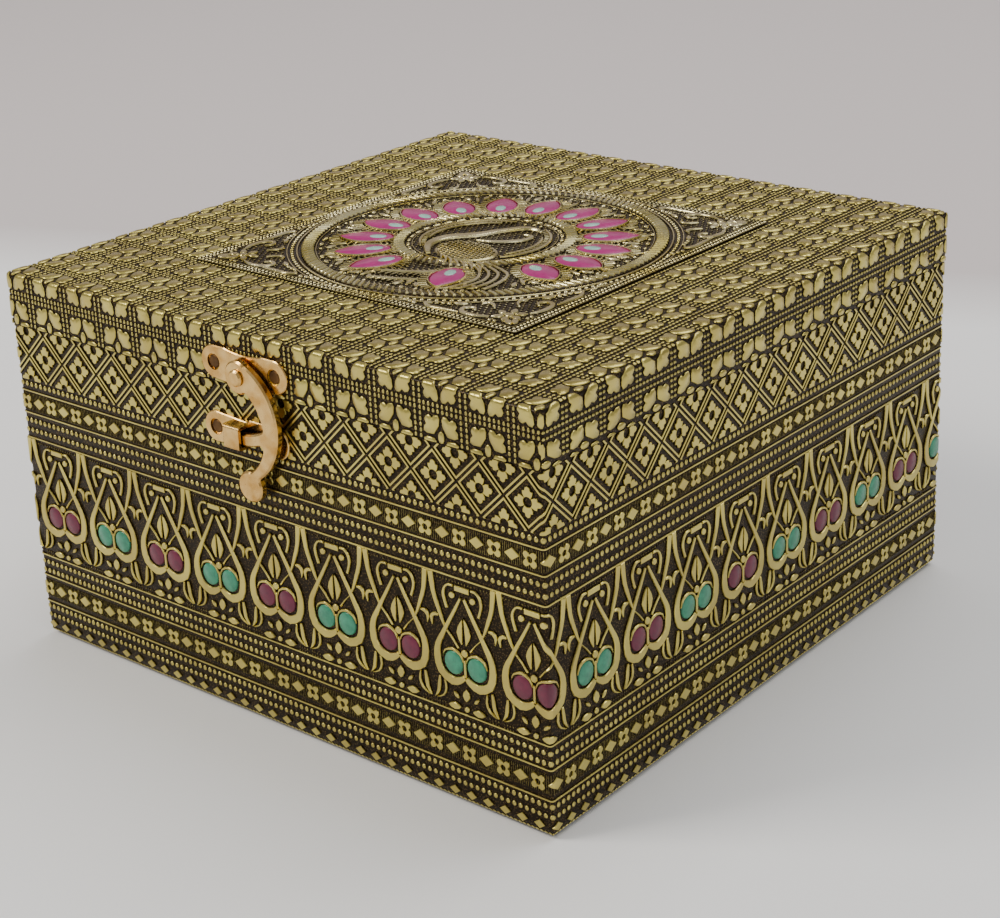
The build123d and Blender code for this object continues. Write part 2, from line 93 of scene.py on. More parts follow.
# Dies: the height, the slope of the sides and the crown of each pressed form, in millimetres.
# The flowers and lozenges of the sheet take their height from the panel's relief.
WALL_PEARL = (0.36, 0.2, 0.14)
SEED_PEARL = (0.22, 0.14, 0.06)
SEAM_LAP = (0.42, 0.2)
RAIL = (0.35, 0.12)
RIB = (0.15, 0.07)
DIAPER_FRAME = (0.36, 0.1)
RHOMBUS = (0.4, 0.16, 0.08)
SCALLOP = (0.3, 0.14, 0.08)
FRIEZE_LINE = (0.62, 0.22)
ENAMEL_CELL = (0.5, 0.3, 0.15)
MESH_PEARL = (0.34, 0.16)
BORDER_PEARL = (0.44, 0.16, 0.1)
BORDER_LINE = (0.3, 0.08)
GROUND_SEED = (0.28, 0.18)
BEAD = (0.5, 0.24, 0.08)
LONG_BEAD = (0.5, 0.3, 0.12)
ROPE_CORE = (0.62, 0.9)
STRAND = (1.2, 0.36)
FEATHER_RIM = (1.05, 0.12)
BARB = (0.66, 0.12)
STEM = (0.6, 0.14)
BUD = (0.7, 0.3, 0.1)
FEATHER_PAD = (0.94, 0.5, 0.08)
FEATHER_EYE = (1.1, 0.3, 0.06)
SPRIG = (0.6, 0.2, 0.08)
DOT = (0.5, 0.2, 0.08)
ROSETTE_LEAF = (0.65, 0.22, 0.08)
CURL = (0.65, 0.2)
BIRD_BODY = (0.75, 1.4)
NECK = (0.95, 0.5)
WING = (0.8, 0.3)
CREST_DOT = (0.6, 0.25, 0.1)
ARC = (0.7, 0.2)
TICK = (0.6, 0.12)
STROKE = (0.95, 0.22)
RIBBON = (0.7, 0.22)
PLUME_STEM = (0.85, 0.2)
PLUME_BARB = (0.6, 0.1)
BIRD_SCALE = (1.12, 0.2)

# Cuts that let a pattern turn a corner, sides of a large circle, and the angles in degrees up
# to which sheet, small forms and pearls are shaded smooth
ARC_CUTS = 4
CIRCLE_SIDES = 96
SMOOTH = 40.0
SMOOTH_SMALL = 60.0
SMOOTH_PEARLS = 70.0

# The wall pattern, in millimetres round the walls and above the table
SEAM_INSET = 8.0
FIRST_MOTIF = -87.5
PEARLS_PER_MOTIF = 11
PEARL_HALF_WIDE = 0.8
TALL_PEARL_ROWS = (85.0, 72.96, 22.49, 9.87)
TALL_PEARL_HALF = 0.94
SHORT_PEARL_ROWS = (69.78, 25.45, 6.83)
SHORT_PEARL_HALF = 0.85
RAIL_HEIGHTS = (82.71, 75.45, 67.2, 27.82, 20.71, 11.74)
RAIL_HALF = 0.3
LOZENGE_BANDS = (79.12, 16.37)
LOZENGE_HALF = (2.65, 1.9)
QUATREFOIL_EYE = 0.8
RIBS_PER_MOTIF = 34
RIB_HALF = (0.14, 2.9)
RHOMBUS_ROW = 3.8
RHOMBUS_HALF = (2.0, 1.45)
SCALLOP_ROW = 1.3
SCALLOP_HALF = (0.66, 0.85)
DIAPER_MIDDLE = 94.55
DIAPER_FOOT = 86.6
DIAPER_EYE = 1.35
DIAPER_GAP = 0.92
DIAPER_FRAME_HALF = 0.5
FRIEZE_MIDDLE = 47.8
CELL_MIDDLE = (3.95, -5.55)
CELL_HALF = (3.2, 3.45)
SEEDS_PER_MOTIF = 22
SEED_HALF = (0.36, 0.4)
SEED_ROW = 18.0

# The lid's grid of flowers and the panel of the medallion, in millimetres
GRID_X = -98.55
GRID_Y = -99.87
PANEL_HALF = 61.5

# The medallion, in millimetres from the lid's middle
PLATE = 0.4
BORDER_PITCH = 1.5
BORDER_PEARLS = 82
BORDER_ROWS = (59.4, 60.9)
BORDER_PEARL_HALF = (0.46, 0.64)
BORDER_LINES = (61.7, 58.5)
GROUND_PITCH = 1.9
GROUND_ROW = 0.87
FIELD_RADIUS = 51
CORNERS_FROM = 61
CORNERS_HALF = 57.6

# Its rings: plain lines by radius, width and height; rows of beads by radius, number, half sizes
# and die; ropes by name, radius, half width and number of strands
RING_LINES = ((57.0, 0.6, 0.5), (60.0, 0.5, 0.4), (51.3, 0.4, 0.4), (22.2, 0.4, 0.4))
RING_BEADS = ((58.5, 170, (0.62, 0.7), BEAD), (23.4, 34, (0.7, 1.7), LONG_BEAD))
RING_ROPES = (("medallion_rope", 53.75, 1.9, 150), ("medallion_eye_ring", 26.3, 1.75, 74))
STRAND_HALF = 0.56
STRAND_TURN = 28

# Its feathers and its bird
FEATHER_RADIUS = 37.5
FEATHER_SLOTS = 17
BARE_SLOTS = (2, 0)
FEATHER_TURN = 80.0
FEATHER_MIDDLE = (1.6, -1.1)
FEATHER_HALF = (8.7, 5.2)
BIRD_MIDDLE = (3.0, -12.5)
BIRD_TILT = -12

# The camera that the photo's corners fit, in millimetres and pixels
CAMERA_PLACE = (396.3, -463.9, 301.9)
CAMERA_FORWARD = (-0.6086, 0.72, -0.3334)
CAMERA_RIGHT = (0.7718, 0.6347, -0.038)
CAMERA_FOCUS_PX = 2097.0
PHOTO_SIZE_PX = (1000, 918)
OPTICAL_CENTRE_PX = (500, 345)
SENSOR_MM = 36

# The studio, in metres: lights by name, place, size, watts and colour, what they aim at, and the
# paper, whose colour is painted greyer, as painted shade, between two distances behind the box
LIGHTS = (
    ("window", (-1.3, -1.5, 1.9), 1.0, 45.0, "#FFFAF2"),
    ("fill", (1.9, -0.9, 1.2), 1.6, 9.0, "#F6F8FF"),
    ("top", (0.2, 0.9, 2.2), 1.8, 31.0, "#FFFFFF"),
)
LIGHTS_AIM = (0, 0, 0.06)
PAPER_WIDTH = 6.0
PAPER_RISE = 3.5
PAPER_BEND = 1.2
PAPER_TURN = 40
PAPER_SHADE_TOWARDS = (-0.39, 0.92, 0.0)
PAPER_SHADE_BETWEEN = (0.29, 0.37)


def linear(hex_colour):
    """An sRGB hex colour as linear red, green, blue and alpha."""
    values = [int(hex_colour[i : i + 2], 16) / 255 for i in (1, 3, 5)]
    return [v / 12.92 if v <= 0.04045 else ((v + 0.055) / 1.055) ** 2.4 for v in values] + [1.0]


def length_property(name, description, default):
    """A length that a user may change, in metres."""
    return bpy.props.FloatProperty(
        name=name, description=description, default=default, min=0.0, unit="LENGTH"
    )


def colour_property(name, description, hex_colour):
    """A colour that a user may change."""
    return bpy.props.FloatVectorProperty(
        name=name,
        description=description,
        default=linear(hex_colour),
        size=4,
        min=0.0,
        max=1.0,
        subtype="COLOR",
    )


class GiftBoxSizes(bpy.types.PropertyGroup):
    """Sizes of the embossed patterns."""

    frieze_pitch: length_property(
        "Frieze pitch", "From one teardrop motif to the next round the walls", 0.02302
    )
    lid_pitch: length_property("Lid pitch", "From one lid flower to the next", 0.015295)
    relief: length_property("Relief", "Height of the embossed shapes", 0.0005)
    mesh_pearl: length_property("Lid pearl", "Width of a pearl in the lid's mesh", 0.00108)


class GiftBoxColours(bpy.types.PropertyGroup):
    """Colours of the metal, the enamel and the cloth."""

    brass: colour_property("Brass", "The rubbed crests of the sheet", "#CFC069")
    patina: colour_property("Patina", "The dark wash in the sheet's hollows", "#231907")
    latch: colour_property("Latch", "The latch's brass plate", "#E2BC78")
    magenta: colour_property("Magenta", "Pink enamel of the walls", "#6A0530")
    bright_magenta: colour_property("Bright magenta", "Pink enamel of the feathers", "#A6136C")
    turquoise: colour_property("Turquoise", "Green-blue enamel of the walls", "#34906C")
    feather_eye: colour_property("Feather eye", "Pale enamel of the feathers' eyes", "#9CC7B8")
    velvet: colour_property("Velvet", "Lining velvet", "#5A0F22")
    floor: colour_property("Floor", "Studio floor", "#F0EFEE")


def in_mm(context, name):
    """One of the panel's sizes, in millimetres."""
    return getattr(context.scene.gift_box_sizes, name) / MM


# Object tools


def only(piece):
    """Selects one piece alone and makes it active."""
    bpy.ops.object.select_all(action="DESELECT")
    piece.select_set(True)
    bpy.context.view_layer.objects.active = piece
    return piece


@contextmanager
def editing(piece):
    """Holds one piece in edit mode, with all of it selected at first."""
    only(piece)
    bpy.ops.object.mode_set(mode="EDIT")
    bpy.ops.mesh.select_all(action="SELECT")
    yield
    bpy.ops.object.mode_set(mode="OBJECT")


def face_outward(piece):
    """Turns all of a closed piece's faces outward."""
    with editing(piece):
        bpy.ops.mesh.normals_make_consistent(inside=False)


def joined(pieces, name):
    """Joins pieces into one."""
    only(pieces[0])
    for piece in pieces[1:]:
        piece.select_set(True)
    if len(pieces) > 1:
        bpy.ops.object.join()
    pieces[0].name = name
    pieces[0].data.name = name
    return pieces[0]


def points_of(piece):
    """The piece's vertices as rows of x, y and z."""
    flat = np.empty(len(piece.data.vertices) * 3)
    piece.data.vertices.foreach_get("co", flat)
    return flat.reshape(-1, 3)


def move_points(piece, points):
    """Puts the piece's vertices at these rows of x, y and z."""
    piece.data.vertices.foreach_set("co", np.ascontiguousarray(points, float).ravel())
    piece.data.update()


def laid(unit, places, name):
    """One mesh with a copy of the unit at each place, given as x, y and turn in degrees."""
    points = points_of(unit)
    faces = [list(face.vertices) for face in unit.data.polygons]
    all_points, all_faces = [], []
    for copy, (x, y, turn) in enumerate(places):
        cosine, sine = math.cos(math.radians(turn)), math.sin(math.radians(turn))
        turned = points @ np.array([[cosine, sine, 0], [-sine, cosine, 0], [0, 0, 1]])
        all_points.append(turned + [x, y, 0])
        offset = copy * len(points)
        all_faces += [[offset + vertex for vertex in face] for face in faces]
    mesh = bpy.data.meshes.new(name)
    mesh.from_pydata(np.concatenate(all_points).tolist(), [], all_faces)
    bpy.data.objects.remove(unit)
    piece = bpy.data.objects.new(name, mesh)
    bpy.context.scene.collection.objects.link(piece)
    return piece


def cut(piece, point, direction, away=False):
    """Cuts the faces along a plane. With away, what lies past the plane goes and is closed."""
    with editing(piece):
        bpy.ops.mesh.bisect(
            plane_co=point, plane_no=direction, use_fill=away, clear_outer=away, threshold=1e-5
        )


# Outlines


def placed(points, x, y, turn=0.0):
    """Points turned by degrees and moved."""
    cosine, sine = math.cos(math.radians(turn)), math.sin(math.radians(turn))
    return [(x + px * cosine - py * sine, y + px * sine + py * cosine) for px, py in points]


def oval(x, y, half_wide, half_tall, sides, turn=0.0):
    """Outline of an ellipse."""
    angles = [2 * math.pi * (i + 0.5) / sides for i in range(sides)]
    points = [(half_wide * math.cos(angle), half_tall * math.sin(angle)) for angle in angles]
    return placed(points, x, y, turn)


def block(x_low, y_low, x_high, y_high):
    """Outline of a rectangle."""
    return [(x_low, y_low), (x_high, y_low), (x_high, y_high), (x_low, y_high)]


def quarters(points):
    """A whole outline from the points of its first quarter."""
    return [point for turn in (0, 90, 180, 270) for point in placed(points, 0, 0, turn)]


def rounded_square(half, corner):
    """Outline of a square with rounded corners."""
    core = half - corner
    arc = [math.radians(90 * step / ARC_CUTS) for step in range(ARC_CUTS + 1)]
    return quarters([(core + corner * math.cos(a), core + corner * math.sin(a)) for a in arc])


def smooth_line(points, steps):
    """Points on a smooth curve through the given points."""
    knots = np.array([points[0], *points, points[-1]], float)
    knots[0] = 2 * knots[1] - knots[2]
    knots[-1] = 2 * knots[-2] - knots[-3]
    line = []
    for i in range(1, len(knots) - 2):
        a, b, c, d = knots[i - 1 : i + 3]
        for step in range(steps):
            t = step / steps
            bend = (2 * a - 5 * b + 4 * c - d) * t**2 + (3 * b - a - 3 * c + d) * t**3
            line.append(0.5 * (2 * b + (c - a) * t + bend))
    line.append(knots[-2])
    return np.array(line)


def band(points, steps=3):
    """Outline of a band along a smooth curve. Each point is x, y and half width."""
    line = smooth_line(points, steps)
    along = np.gradient(line[:, :2], axis=0)
    along /= np.linalg.norm(along, axis=1)[:, None]
    across = np.stack([-along[:, 1], along[:, 0]], axis=1) * line[:, 2:3]
    left, right = line[:, :2] + across, line[:, :2] - across
    return [tuple(p) for p in left] + [tuple(p) for p in right[::-1]]


def diamond(half_wide, half_tall):
    """Outline of a lozenge."""
    return [(half_wide, 0), (0, half_tall), (-half_wide, 0), (0, -half_tall)]


def leaf(x, y, length, width, turn=0.0):
    """Outline of a pointed leaf, its tips along x before it is turned."""
    side = [(0.5, 0.0), (0.26, 0.36), (-0.05, 0.5), (-0.34, 0.3), (-0.5, 0.0)]
    points = side + [(px, -py) for px, py in side[-2:0:-1]]
    return placed([(px * length, py * width) for px, py in points], x, y, turn)


def mirrored(outline):
    """The outline on the other side of the motif's middle line."""
    return [(-x, y) for x, y in outline][::-1]


def both_sides(outlines):
    """Outlines with their mirror images."""
    return outlines + [mirrored(outline) for outline in outlines]


# Shapes raised from the sheet


def flat_loop(outline, fill):
    """A closed loop of edges at the root of a raised shape."""
    bpy.ops.object.select_all(action="DESELECT")
    bpy.ops.mesh.primitive_circle_add(vertices=len(outline), radius=1.0, fill_type=fill)
    loop = bpy.context.object
    for vertex, (x, y) in zip(loop.data.vertices, outline):
        vertex.co = (x, y, -ROOT)
    return loop


def pressed_up(shape, height, slope, crown=0.0):
    """Presses a flat face up to a height, its sides drawn in by the slope.

    High forms are rounded over at the top. A crown suits only outlines with no hollow side."""
    face_outward(shape)
    if shape.data.polygons[0].normal.z < 0:
        with editing(shape):
            bpy.ops.mesh.flip_normals()
    steps = ((0.35, 0.7), (0.65, 0.3)) if height > ROUND_OVER_FROM else ((1, 1),)
    with editing(shape):
        bpy.ops.mesh.extrude_region_move(TRANSFORM_OT_translate={"value": (0, 0, ROOT)})
        for drawn_in, risen in steps:
            bpy.ops.mesh.inset(thickness=slope * drawn_in, depth=height * risen)
        if crown:
            bpy.ops.mesh.poke(offset=crown)
    face_outward(shape)
    return shape


def raised(outline, height, slope, crown=0.0):
    """A form pressed up inside an outline."""
    return pressed_up(flat_loop(outline, "NGON"), height, slope, crown)


def pressed(outlines, die, name):
    """Forms of one die pressed up inside each outline, as one piece."""
    return joined([raised(outline, *die) for outline in outlines], name)


def raised_ring(outer, inner, height, slope):
    """A rim pressed up between two outlines that have the same number of points."""
    ring = joined([flat_loop(outer, "NOTHING"), flat_loop(inner, "NOTHING")], "ring")
    with editing(ring):
        bpy.ops.mesh.bridge_edge_loops()
    return pressed_up(ring, height, slope)


# From the flat pattern to the box


def wall_side():
    """Length of one wall with one rounded corner."""
    return 2 * (BODY_HALF - BODY_CORNER) + BODY_CORNER * math.pi / 2


def wall_path(along):
    """Points and outward directions round the walls, by the distance from the front's middle."""
    straight = 2 * (BODY_HALF - BODY_CORNER)
    start = along + straight / 2
    turns = np.floor(start / wall_side())
    run = start - turns * wall_side()
    angle = np.clip(run - straight, 0, None) / BODY_CORNER
    x = np.minimum(run, straight) - straight / 2 + BODY_CORNER * np.sin(angle)
    y = -(BODY_HALF - BODY_CORNER) - BODY_CORNER * np.cos(angle)
    out_x, out_y = np.sin(angle), -np.cos(angle)
    cosine, sine = np.cos(turns * math.pi / 2), np.sin(turns * math.pi / 2)
    return (
        x * cosine - y * sine,
        x * sine + y * cosine,
        out_x * cosine - out_y * sine,
        out_x * sine + out_y * cosine,
    )


def round_the_walls(points):
    """Lays flat points, given as along, up and out, on the body's walls and round their foot."""
    x, y, out_x, out_y = wall_path(points[:, 0])
    up, out = points[:, 1], points[:, 2]
    bend_top = BODY_FOOT + FOOT_BEND
    angle = np.clip((bend_top - up) / FOOT_BEND, 0, math.pi / 2)
    proud = (FOOT_BEND + out) * np.cos(angle) - FOOT_BEND
    height = np.where(up < bend_top, bend_top - (FOOT_BEND + out) * np.sin(angle), up)
    return np.stack([x + out_x * proud, y + out_y * proud, height], axis=1)


def lid_side(run, out):
    """How far out and how high flat points lie that run over the lid's edge, from its middle."""
    past = run - (LID_HALF - LID_EDGE)
    angle = np.clip(past / LID_EDGE, 0, math.pi / 2)
    reach = np.minimum(run, LID_HALF - LID_EDGE) + (LID_EDGE + out) * np.sin(angle)
    height = LID_TOP - LID_EDGE + (LID_EDGE + out) * np.cos(angle)
    height -= np.clip(past - LID_EDGE * math.pi / 2, 0, None)
    return reach, np.maximum(height, LID_RIM + 0.02)


def over_the_lid(points):
    """Lays flat points on the lid's top, and folds what is past its edges down the sides.

    A side's pattern keeps its scale up to the fold at the upright corner."""
    u, v, out = points[:, 0], points[:, 1], points[:, 2]
    sideways = np.abs(u) >= np.abs(v)
    run = np.where(sideways, np.abs(u), np.abs(v))
    cross = np.where(sideways, v, u)
    reach, height = lid_side(run, out)
    core = LID_HALF - LID_CORNER
    turn = np.clip(np.abs(cross) - core, 0, LID_CORNER) / LID_CORNER * math.pi / 4
    turn = np.where(run > LID_HALF - LID_EDGE, turn, 0)
    radius = reach - core
    cross = np.where(turn > 0, np.sign(cross) * (core + radius * np.sin(turn)), cross)
    reach = np.where(turn > 0, core + radius * np.cos(turn), reach)
    x = np.where(sideways, np.sign(u) * reach, cross)
    y = np.where(sideways, cross, np.sign(v) * reach)
    return np.stack([x, y, height], axis=1)


def on_the_lid(points):
    """Puts flat points on the lid's top."""
    return points + [0, 0, LID_TOP]


def on_the_plate(points):
    """Puts flat points on the medallion's plate."""
    return points + [0, 0, LID_TOP + PLATE]


def lid_reach():
    """How far the flat sheet reaches from the lid's middle before its edge at the rim."""
    return LID_HALF - LID_EDGE + LID_EDGE * math.pi / 2 + (LID_TOP - LID_EDGE - LID_RIM)


def seam_ends():
    """The two ends of the sheet round the walls: they meet on the back, near a corner."""
    last = BODY_HALF - BODY_CORNER + 2 * wall_side() - SEAM_INSET
    return last - 4 * wall_side(), last


def wall_corner_cuts():
    """Where a flat wall pattern is cut so that it can turn the corners."""
    arc = BODY_CORNER * math.pi / 2
    return [
        BODY_HALF - BODY_CORNER + corner * wall_side() + arc * step / ARC_CUTS
        for corner in range(-3, 3)
        for step in range(ARC_CUTS + 1)
    ]


def repeats(phase, pitch):
    """Places of a repeat along the whole sheet, one past each end."""
    first, last = seam_ends()
    low = math.floor((first - phase) / pitch)
    high = math.ceil((last - phase) / pitch)
    return [phase + pitch * i for i in range(low, high + 1)]


def dress(piece, body, material, angle=SMOOTH):
    """Smooths a finished piece and gives it its body and material."""
    only(piece)
    bpy.ops.object.shade_smooth_by_angle(angle=math.radians(angle))
    piece.data.materials.append(material)
    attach(piece, body)
    return piece


def finish_relief(
    piece, lay, body, slot="embossed_brass", finish=None, angle=SMOOTH, rubbed=RUBBED
):
    """Marks the crests, lays the flat pattern on the box and gives the piece its finish."""
    low, high = rubbed
    points = points_of(piece)
    crest = piece.data.attributes.new("crest", "FLOAT", "POINT")
    share = np.clip((points[:, 2] - low) / (high - low), 0, 1)
    crest.data.foreach_set("value", share.astype(np.float32))
    move_points(piece, lay(points) * MM)
    return dress(piece, body, materials[finish or slot], angle)


def finish_wall_relief(
    pieces, name, slot="embossed_brass", cuts=True, angle=SMOOTH, rubbed=RUBBED
):
    """Joins flat wall pieces, ends them at the seam, cuts them at the corners and lays them."""
    strip = joined(pieces, name)
    first, last = seam_ends()
    cut(strip, (first, 0, 0), (-1, 0, 0), away=True)
    cut(strip, (last, 0, 0), (1, 0, 0), away=True)
    if cuts:
        for place in wall_corner_cuts():
            if first < place < last:
                cut(strip, (place, 0, 0), (1, 0, 0))
    return finish_relief(strip, round_the_walls, "box", slot, angle=angle, rubbed=rubbed)


def finish_lid_relief(pattern, name):
    """Parts a flat pattern at the folds of the upright corners, and folds it over the lid."""
    reach = lid_reach() - 0.1
    parts = []
    for sides in ("middle", "front", "back"):
        only(pattern)
        bpy.ops.object.duplicate()
        part = bpy.context.object
        if sides == "middle":
            kept = ((1, 0, reach), (-1, 0, reach), (0, 1, LID_HALF), (0, -1, LID_HALF))
        else:
            out = -1 if sides == "front" else 1
            kept = ((1, 0, LID_HALF), (-1, 0, LID_HALF), (0, out, reach), (0, -out, -LID_HALF))
        for x, y, distance in kept:
            direction = Vector((x, y, 0))
            cut(part, direction * distance, direction, away=True)
        parts.append(part)
    bpy.data.objects.remove(pattern)
    piece = joined(parts, name)
    for direction in ((1, 0, 0), (-1, 0, 0), (0, 1, 0), (0, -1, 0)):
        for step in range(ARC_CUTS + 1):
            past = LID_EDGE * math.pi / 2 * step / ARC_CUTS
            cut(piece, Vector(direction) * (LID_HALF - LID_EDGE + past), direction)
    return finish_relief(piece, over_the_lid, "lid")


# Materials


def add_node(tree, kind, inputs=None, **settings):
    """Adds a node with its settings. Inputs are values, or sockets that are linked."""
    node = tree.nodes.new(kind)
    for name, value in settings.items():
        setattr(node, name, value)
    for name, value in (inputs or {}).items():
        if isinstance(value, bpy.types.NodeSocket):
            tree.links.new(value, node.inputs[name])
        else:
            node.inputs[name].default_value = value
    return node


def new_material(name, **shader_values):
    """An empty material with a Principled shader, and its tree."""
    material = bpy.data.materials.new(name)
    material.use_nodes = True
    tree = material.node_tree
    shader = tree.nodes["Principled BSDF"]
    for socket, value in shader_values.items():
        shader.inputs[socket.replace("_", " ")].default_value = value
    return material, tree, shader


def wired(material, tree, shader, **sockets):
    """The material, with these sockets linked to its shader's inputs."""
    for name, socket in sockets.items():
        tree.links.new(socket, shader.inputs[name.replace("_", " ")])
    return material


def object_coordinates(tree):
    """Object coordinates, in metres."""
    return add_node(tree, "ShaderNodeTexCoord").outputs["Object"]


def mixed(tree, factor, low, high):
    """A colour between two others."""
    node = add_node(tree, "ShaderNodeMix", {0: factor, 6: low, 7: high}, data_type="RGBA")
    return node.outputs[2]


def remapped(tree, value, low, high, to_low=0.0, to_high=1.0):
    """A value moved from one range to another."""
    inputs = {"Value": value, 1: low, 2: high, 3: to_low, 4: to_high}
    return add_node(tree, "ShaderNodeMapRange", inputs).outputs[0]


def noise(tree, grain, detail=2.0, roughness=0.5):
    """Noise with a grain of this size in metres."""
    inputs = {
        "Vector": object_coordinates(tree),
        "Scale": 1 / grain,
        "Detail": detail,
        "Roughness": roughness,
    }
    return add_node(tree, "ShaderNodeTexNoise", inputs).outputs["Fac"]


def bump(tree, height, distance, strength=1.0, under=None):
    """A bumped normal, over another one if there is one."""
    inputs = {"Height": height, "Distance": distance, "Strength": strength}
    if under:
        inputs["Normal"] = under
    return add_node(tree, "ShaderNodeBump", inputs).outputs[0]


def two_tone(name, low, high, patches, span, ripple, **shader_values):
    """A finish that wanders between two colours, and whose surface ripples.

    The patches and the ripple are noise, with a grain in millimetres and a detail."""
    made = new_material(name, **shader_values)
    tree = made[1]
    grain, detail, roughness = patches
    share = remapped(tree, noise(tree, grain * MM, detail, roughness), *span)
    grain, detail, depth, strength = ripple
    surface = bump(tree, noise(tree, grain * MM, detail), depth * MM, strength)
    wired(*made, Base_Color=mixed(tree, share, low, high), Normal=surface)
    return made


def embossed_brass(name, colours, gold, polish):
    """Rolled and embossed brass sheet, washed dark, rubbed and lacquered: gold on olive hollows.

    The hollows are stippled by the die, the grain is that of the wash, and the slow waves are
    the thin sheet over its board."""
    made = new_material(name, Metallic=1.0, Coat_Weight=0.2, Coat_Roughness=0.2)
    tree = made[1]
    crest = add_node(tree, "ShaderNodeAttribute", attribute_name="crest").outputs["Fac"]
    wear = remapped(tree, noise(tree, 0.8 * MM, 3.0, 0.6), 0.3, 0.7, -0.16, 0.14)
    uneven = add_node(tree, "ShaderNodeMath", {0: crest, 1: wear}, operation="ADD").outputs[0]
    rubbed = remapped(tree, uneven, 0.3, 0.8)
    tarnish = remapped(tree, noise(tree, 14 * MM), 0.35, 0.65)
    bright = mixed(tree, tarnish, linear("#B9A85A"), gold)
    inputs = {"Vector": object_coordinates(tree), "Scale": 1 / (0.6 * MM)}
    cells = add_node(tree, "ShaderNodeTexVoronoi", inputs).outputs["Distance"]
    stipple = remapped(tree, cells, 0.12, 0.42, 1.0, 0.0)
    hollow = mixed(tree, stipple, colours.patina, linear("#6A5530"))
    base = mixed(tree, rubbed, hollow, bright)
    rough = remapped(tree, rubbed, 0.0, 1.0, 0.55, polish)
    pits = bump(tree, stipple, 0.05 * MM, 0.5)
    grain = bump(tree, noise(tree, 0.5 * MM), 0.06 * MM, 0.6, pits)
    waves = bump(tree, noise(tree, 9 * MM, 1.0), 0.5 * MM, 0.35, grain)
    return wired(*made, Base_Color=base, Roughness=rough, Normal=waves)


def enamel(name, colour, depth, gloss):
    """Cold enamel paint filled into a pressed cell: glossy, a little domed and uneven."""
    shine = {"Roughness": gloss, "IOR": 1.52, "Coat_Weight": 0.08, "Coat_Roughness": 0.1}
    patches, ripple = (1.6, 2.0, 0.5), (1.1, 2.0, 0.05, 0.5)
    return two_tone(name, depth, colour, patches, (0.3, 0.7), ripple, **shine)[0]


def plated_metal(name, bright, dull, smooth, rough):
    """Cast or stamped metal, tumbled and lacquered: bright, with a faint ripple and stains."""
    patches, ripple = (4, 2.0, 0.5), (1.2, 2.0, 0.04, 0.5)
    made = two_tone(name, bright, dull, patches, (0.35, 0.7), ripple, Metallic=1.0)
    worn = remapped(made[1], noise(made[1], 1.2 * MM, 3.0), 0.3, 0.7, smooth, rough)
    return wired(*made, Roughness=worn)


def fibreboard():
    """Sawn medium-density fibreboard: matt tan with fine pressed fibres."""
    tans = linear("#8E6B45"), linear("#B89468")
    fibres, ripple = (0.5, 5.0, 0.7), (0.4, 4.0, 0.05, 0.5)
    return two_tone("sawn_fibreboard", *tans, fibres, (0.35, 0.65), ripple, Roughness=0.86)[0]


def velvet(colours):
    """Short-pile rayon velvet on card: deep maroon with a pale bloom where the pile leans."""
    bloom = {"Sheen_Weight": 0.8, "Sheen_Roughness": 0.35, "Sheen_Tint": linear("#E58FA0")}
    made = new_material("velvet_pile", Roughness=0.95, **bloom)
    tree = made[1]
    brushed = remapped(tree, noise(tree, 18 * MM, 3.0), 0.35, 0.65)
    dark = mixed(tree, brushed, linear("#3D0915"), colours.velvet)
    pile = remapped(tree, noise(tree, 0.25 * MM), 0.3, 0.7, 0.0, 0.35)
    base = mixed(tree, pile, dark, linear("#7A2136"))
    nap = bump(tree, noise(tree, 0.3 * MM, 3.0), 0.15 * MM, 0.7)
    return wired(*made, Base_Color=base, Normal=nap)


def felt():
    """Pressed felt paper under the base: flat, dark and fibrous."""
    blacks = linear("#1B1A18"), linear("#34312D")
    fibres, ripple = (0.7, 5.0, 0.7), (0.5, 4.0, 0.2, 0.6)
    return two_tone("felt_paper", *blacks, fibres, (0.3, 0.7), ripple, Roughness=1.0)[0]


def studio_paper(colours):
    """Matt seamless paper of the studio, pale under the box, with painted shade that greys it
    behind the box.
    """
    made = new_material("seamless_paper", Roughness=0.9)
    tree = made[1]
    # Painted shade: the paper behind the box is coloured greyer in place of the shade that falls
    # there
    inputs = {0: object_coordinates(tree), 1: PAPER_SHADE_TOWARDS}
    dot = add_node(tree, "ShaderNodeVectorMath", inputs, operation="DOT_PRODUCT")
    shade = remapped(tree, dot.outputs["Value"], *PAPER_SHADE_BETWEEN)
    return wired(*made, Base_Color=mixed(tree, shade, colours.floor, linear("#CDC5C4")))


materials = {}


def make_materials(context):
    """Makes each finish once, under its slot or, for the medallion and feathers, its own key."""
    colours = context.scene.gift_box_colours
    for key, name, gold, polish in (
        ("embossed_brass", "oxidised_embossed_brass", colours.brass, 0.28),
        ("medallion_brass", "polished_embossed_brass", linear("#EEE2AC"), 0.17),
    ):
        materials[key] = embossed_brass(name, colours, gold, polish)
    for key, name, colour, depth, gloss in (
        ("enamel_magenta", "magenta_enamel", colours.magenta, "#560328", 0.4),
        ("enamel_turquoise", "turquoise_enamel", colours.turquoise, "#257558", 0.3),
        ("feather_magenta", "feather_enamel", colours.bright_magenta, "#971462", 0.32),
        ("feather_eye", "feather_eye_enamel", colours.feather_eye, "#86B3A8", 0.25),
    ):
        materials[key] = enamel(name, colour, linear(depth), gloss)
    for key, name, bright, dull, smooth, rough in (
        ("latch_brass", "plated_cast_brass", colours.latch, "#C39650", 0.16, 0.3),
        ("hinge_brass", "stamped_hinge_brass", linear("#C9A860"), "#A98A4A", 0.24, 0.42),
        ("sunk_nails", "browned_nail_steel", linear("#6B4E2E"), "#4A3420", 0.35, 0.55),
    ):
        materials[key] = plated_metal(name, bright, linear(dull), smooth, rough)
    materials["fibreboard"] = fibreboard()
    materials["velvet_lining"] = velvet(colours)
    materials["base_felt"] = felt()


# Operators


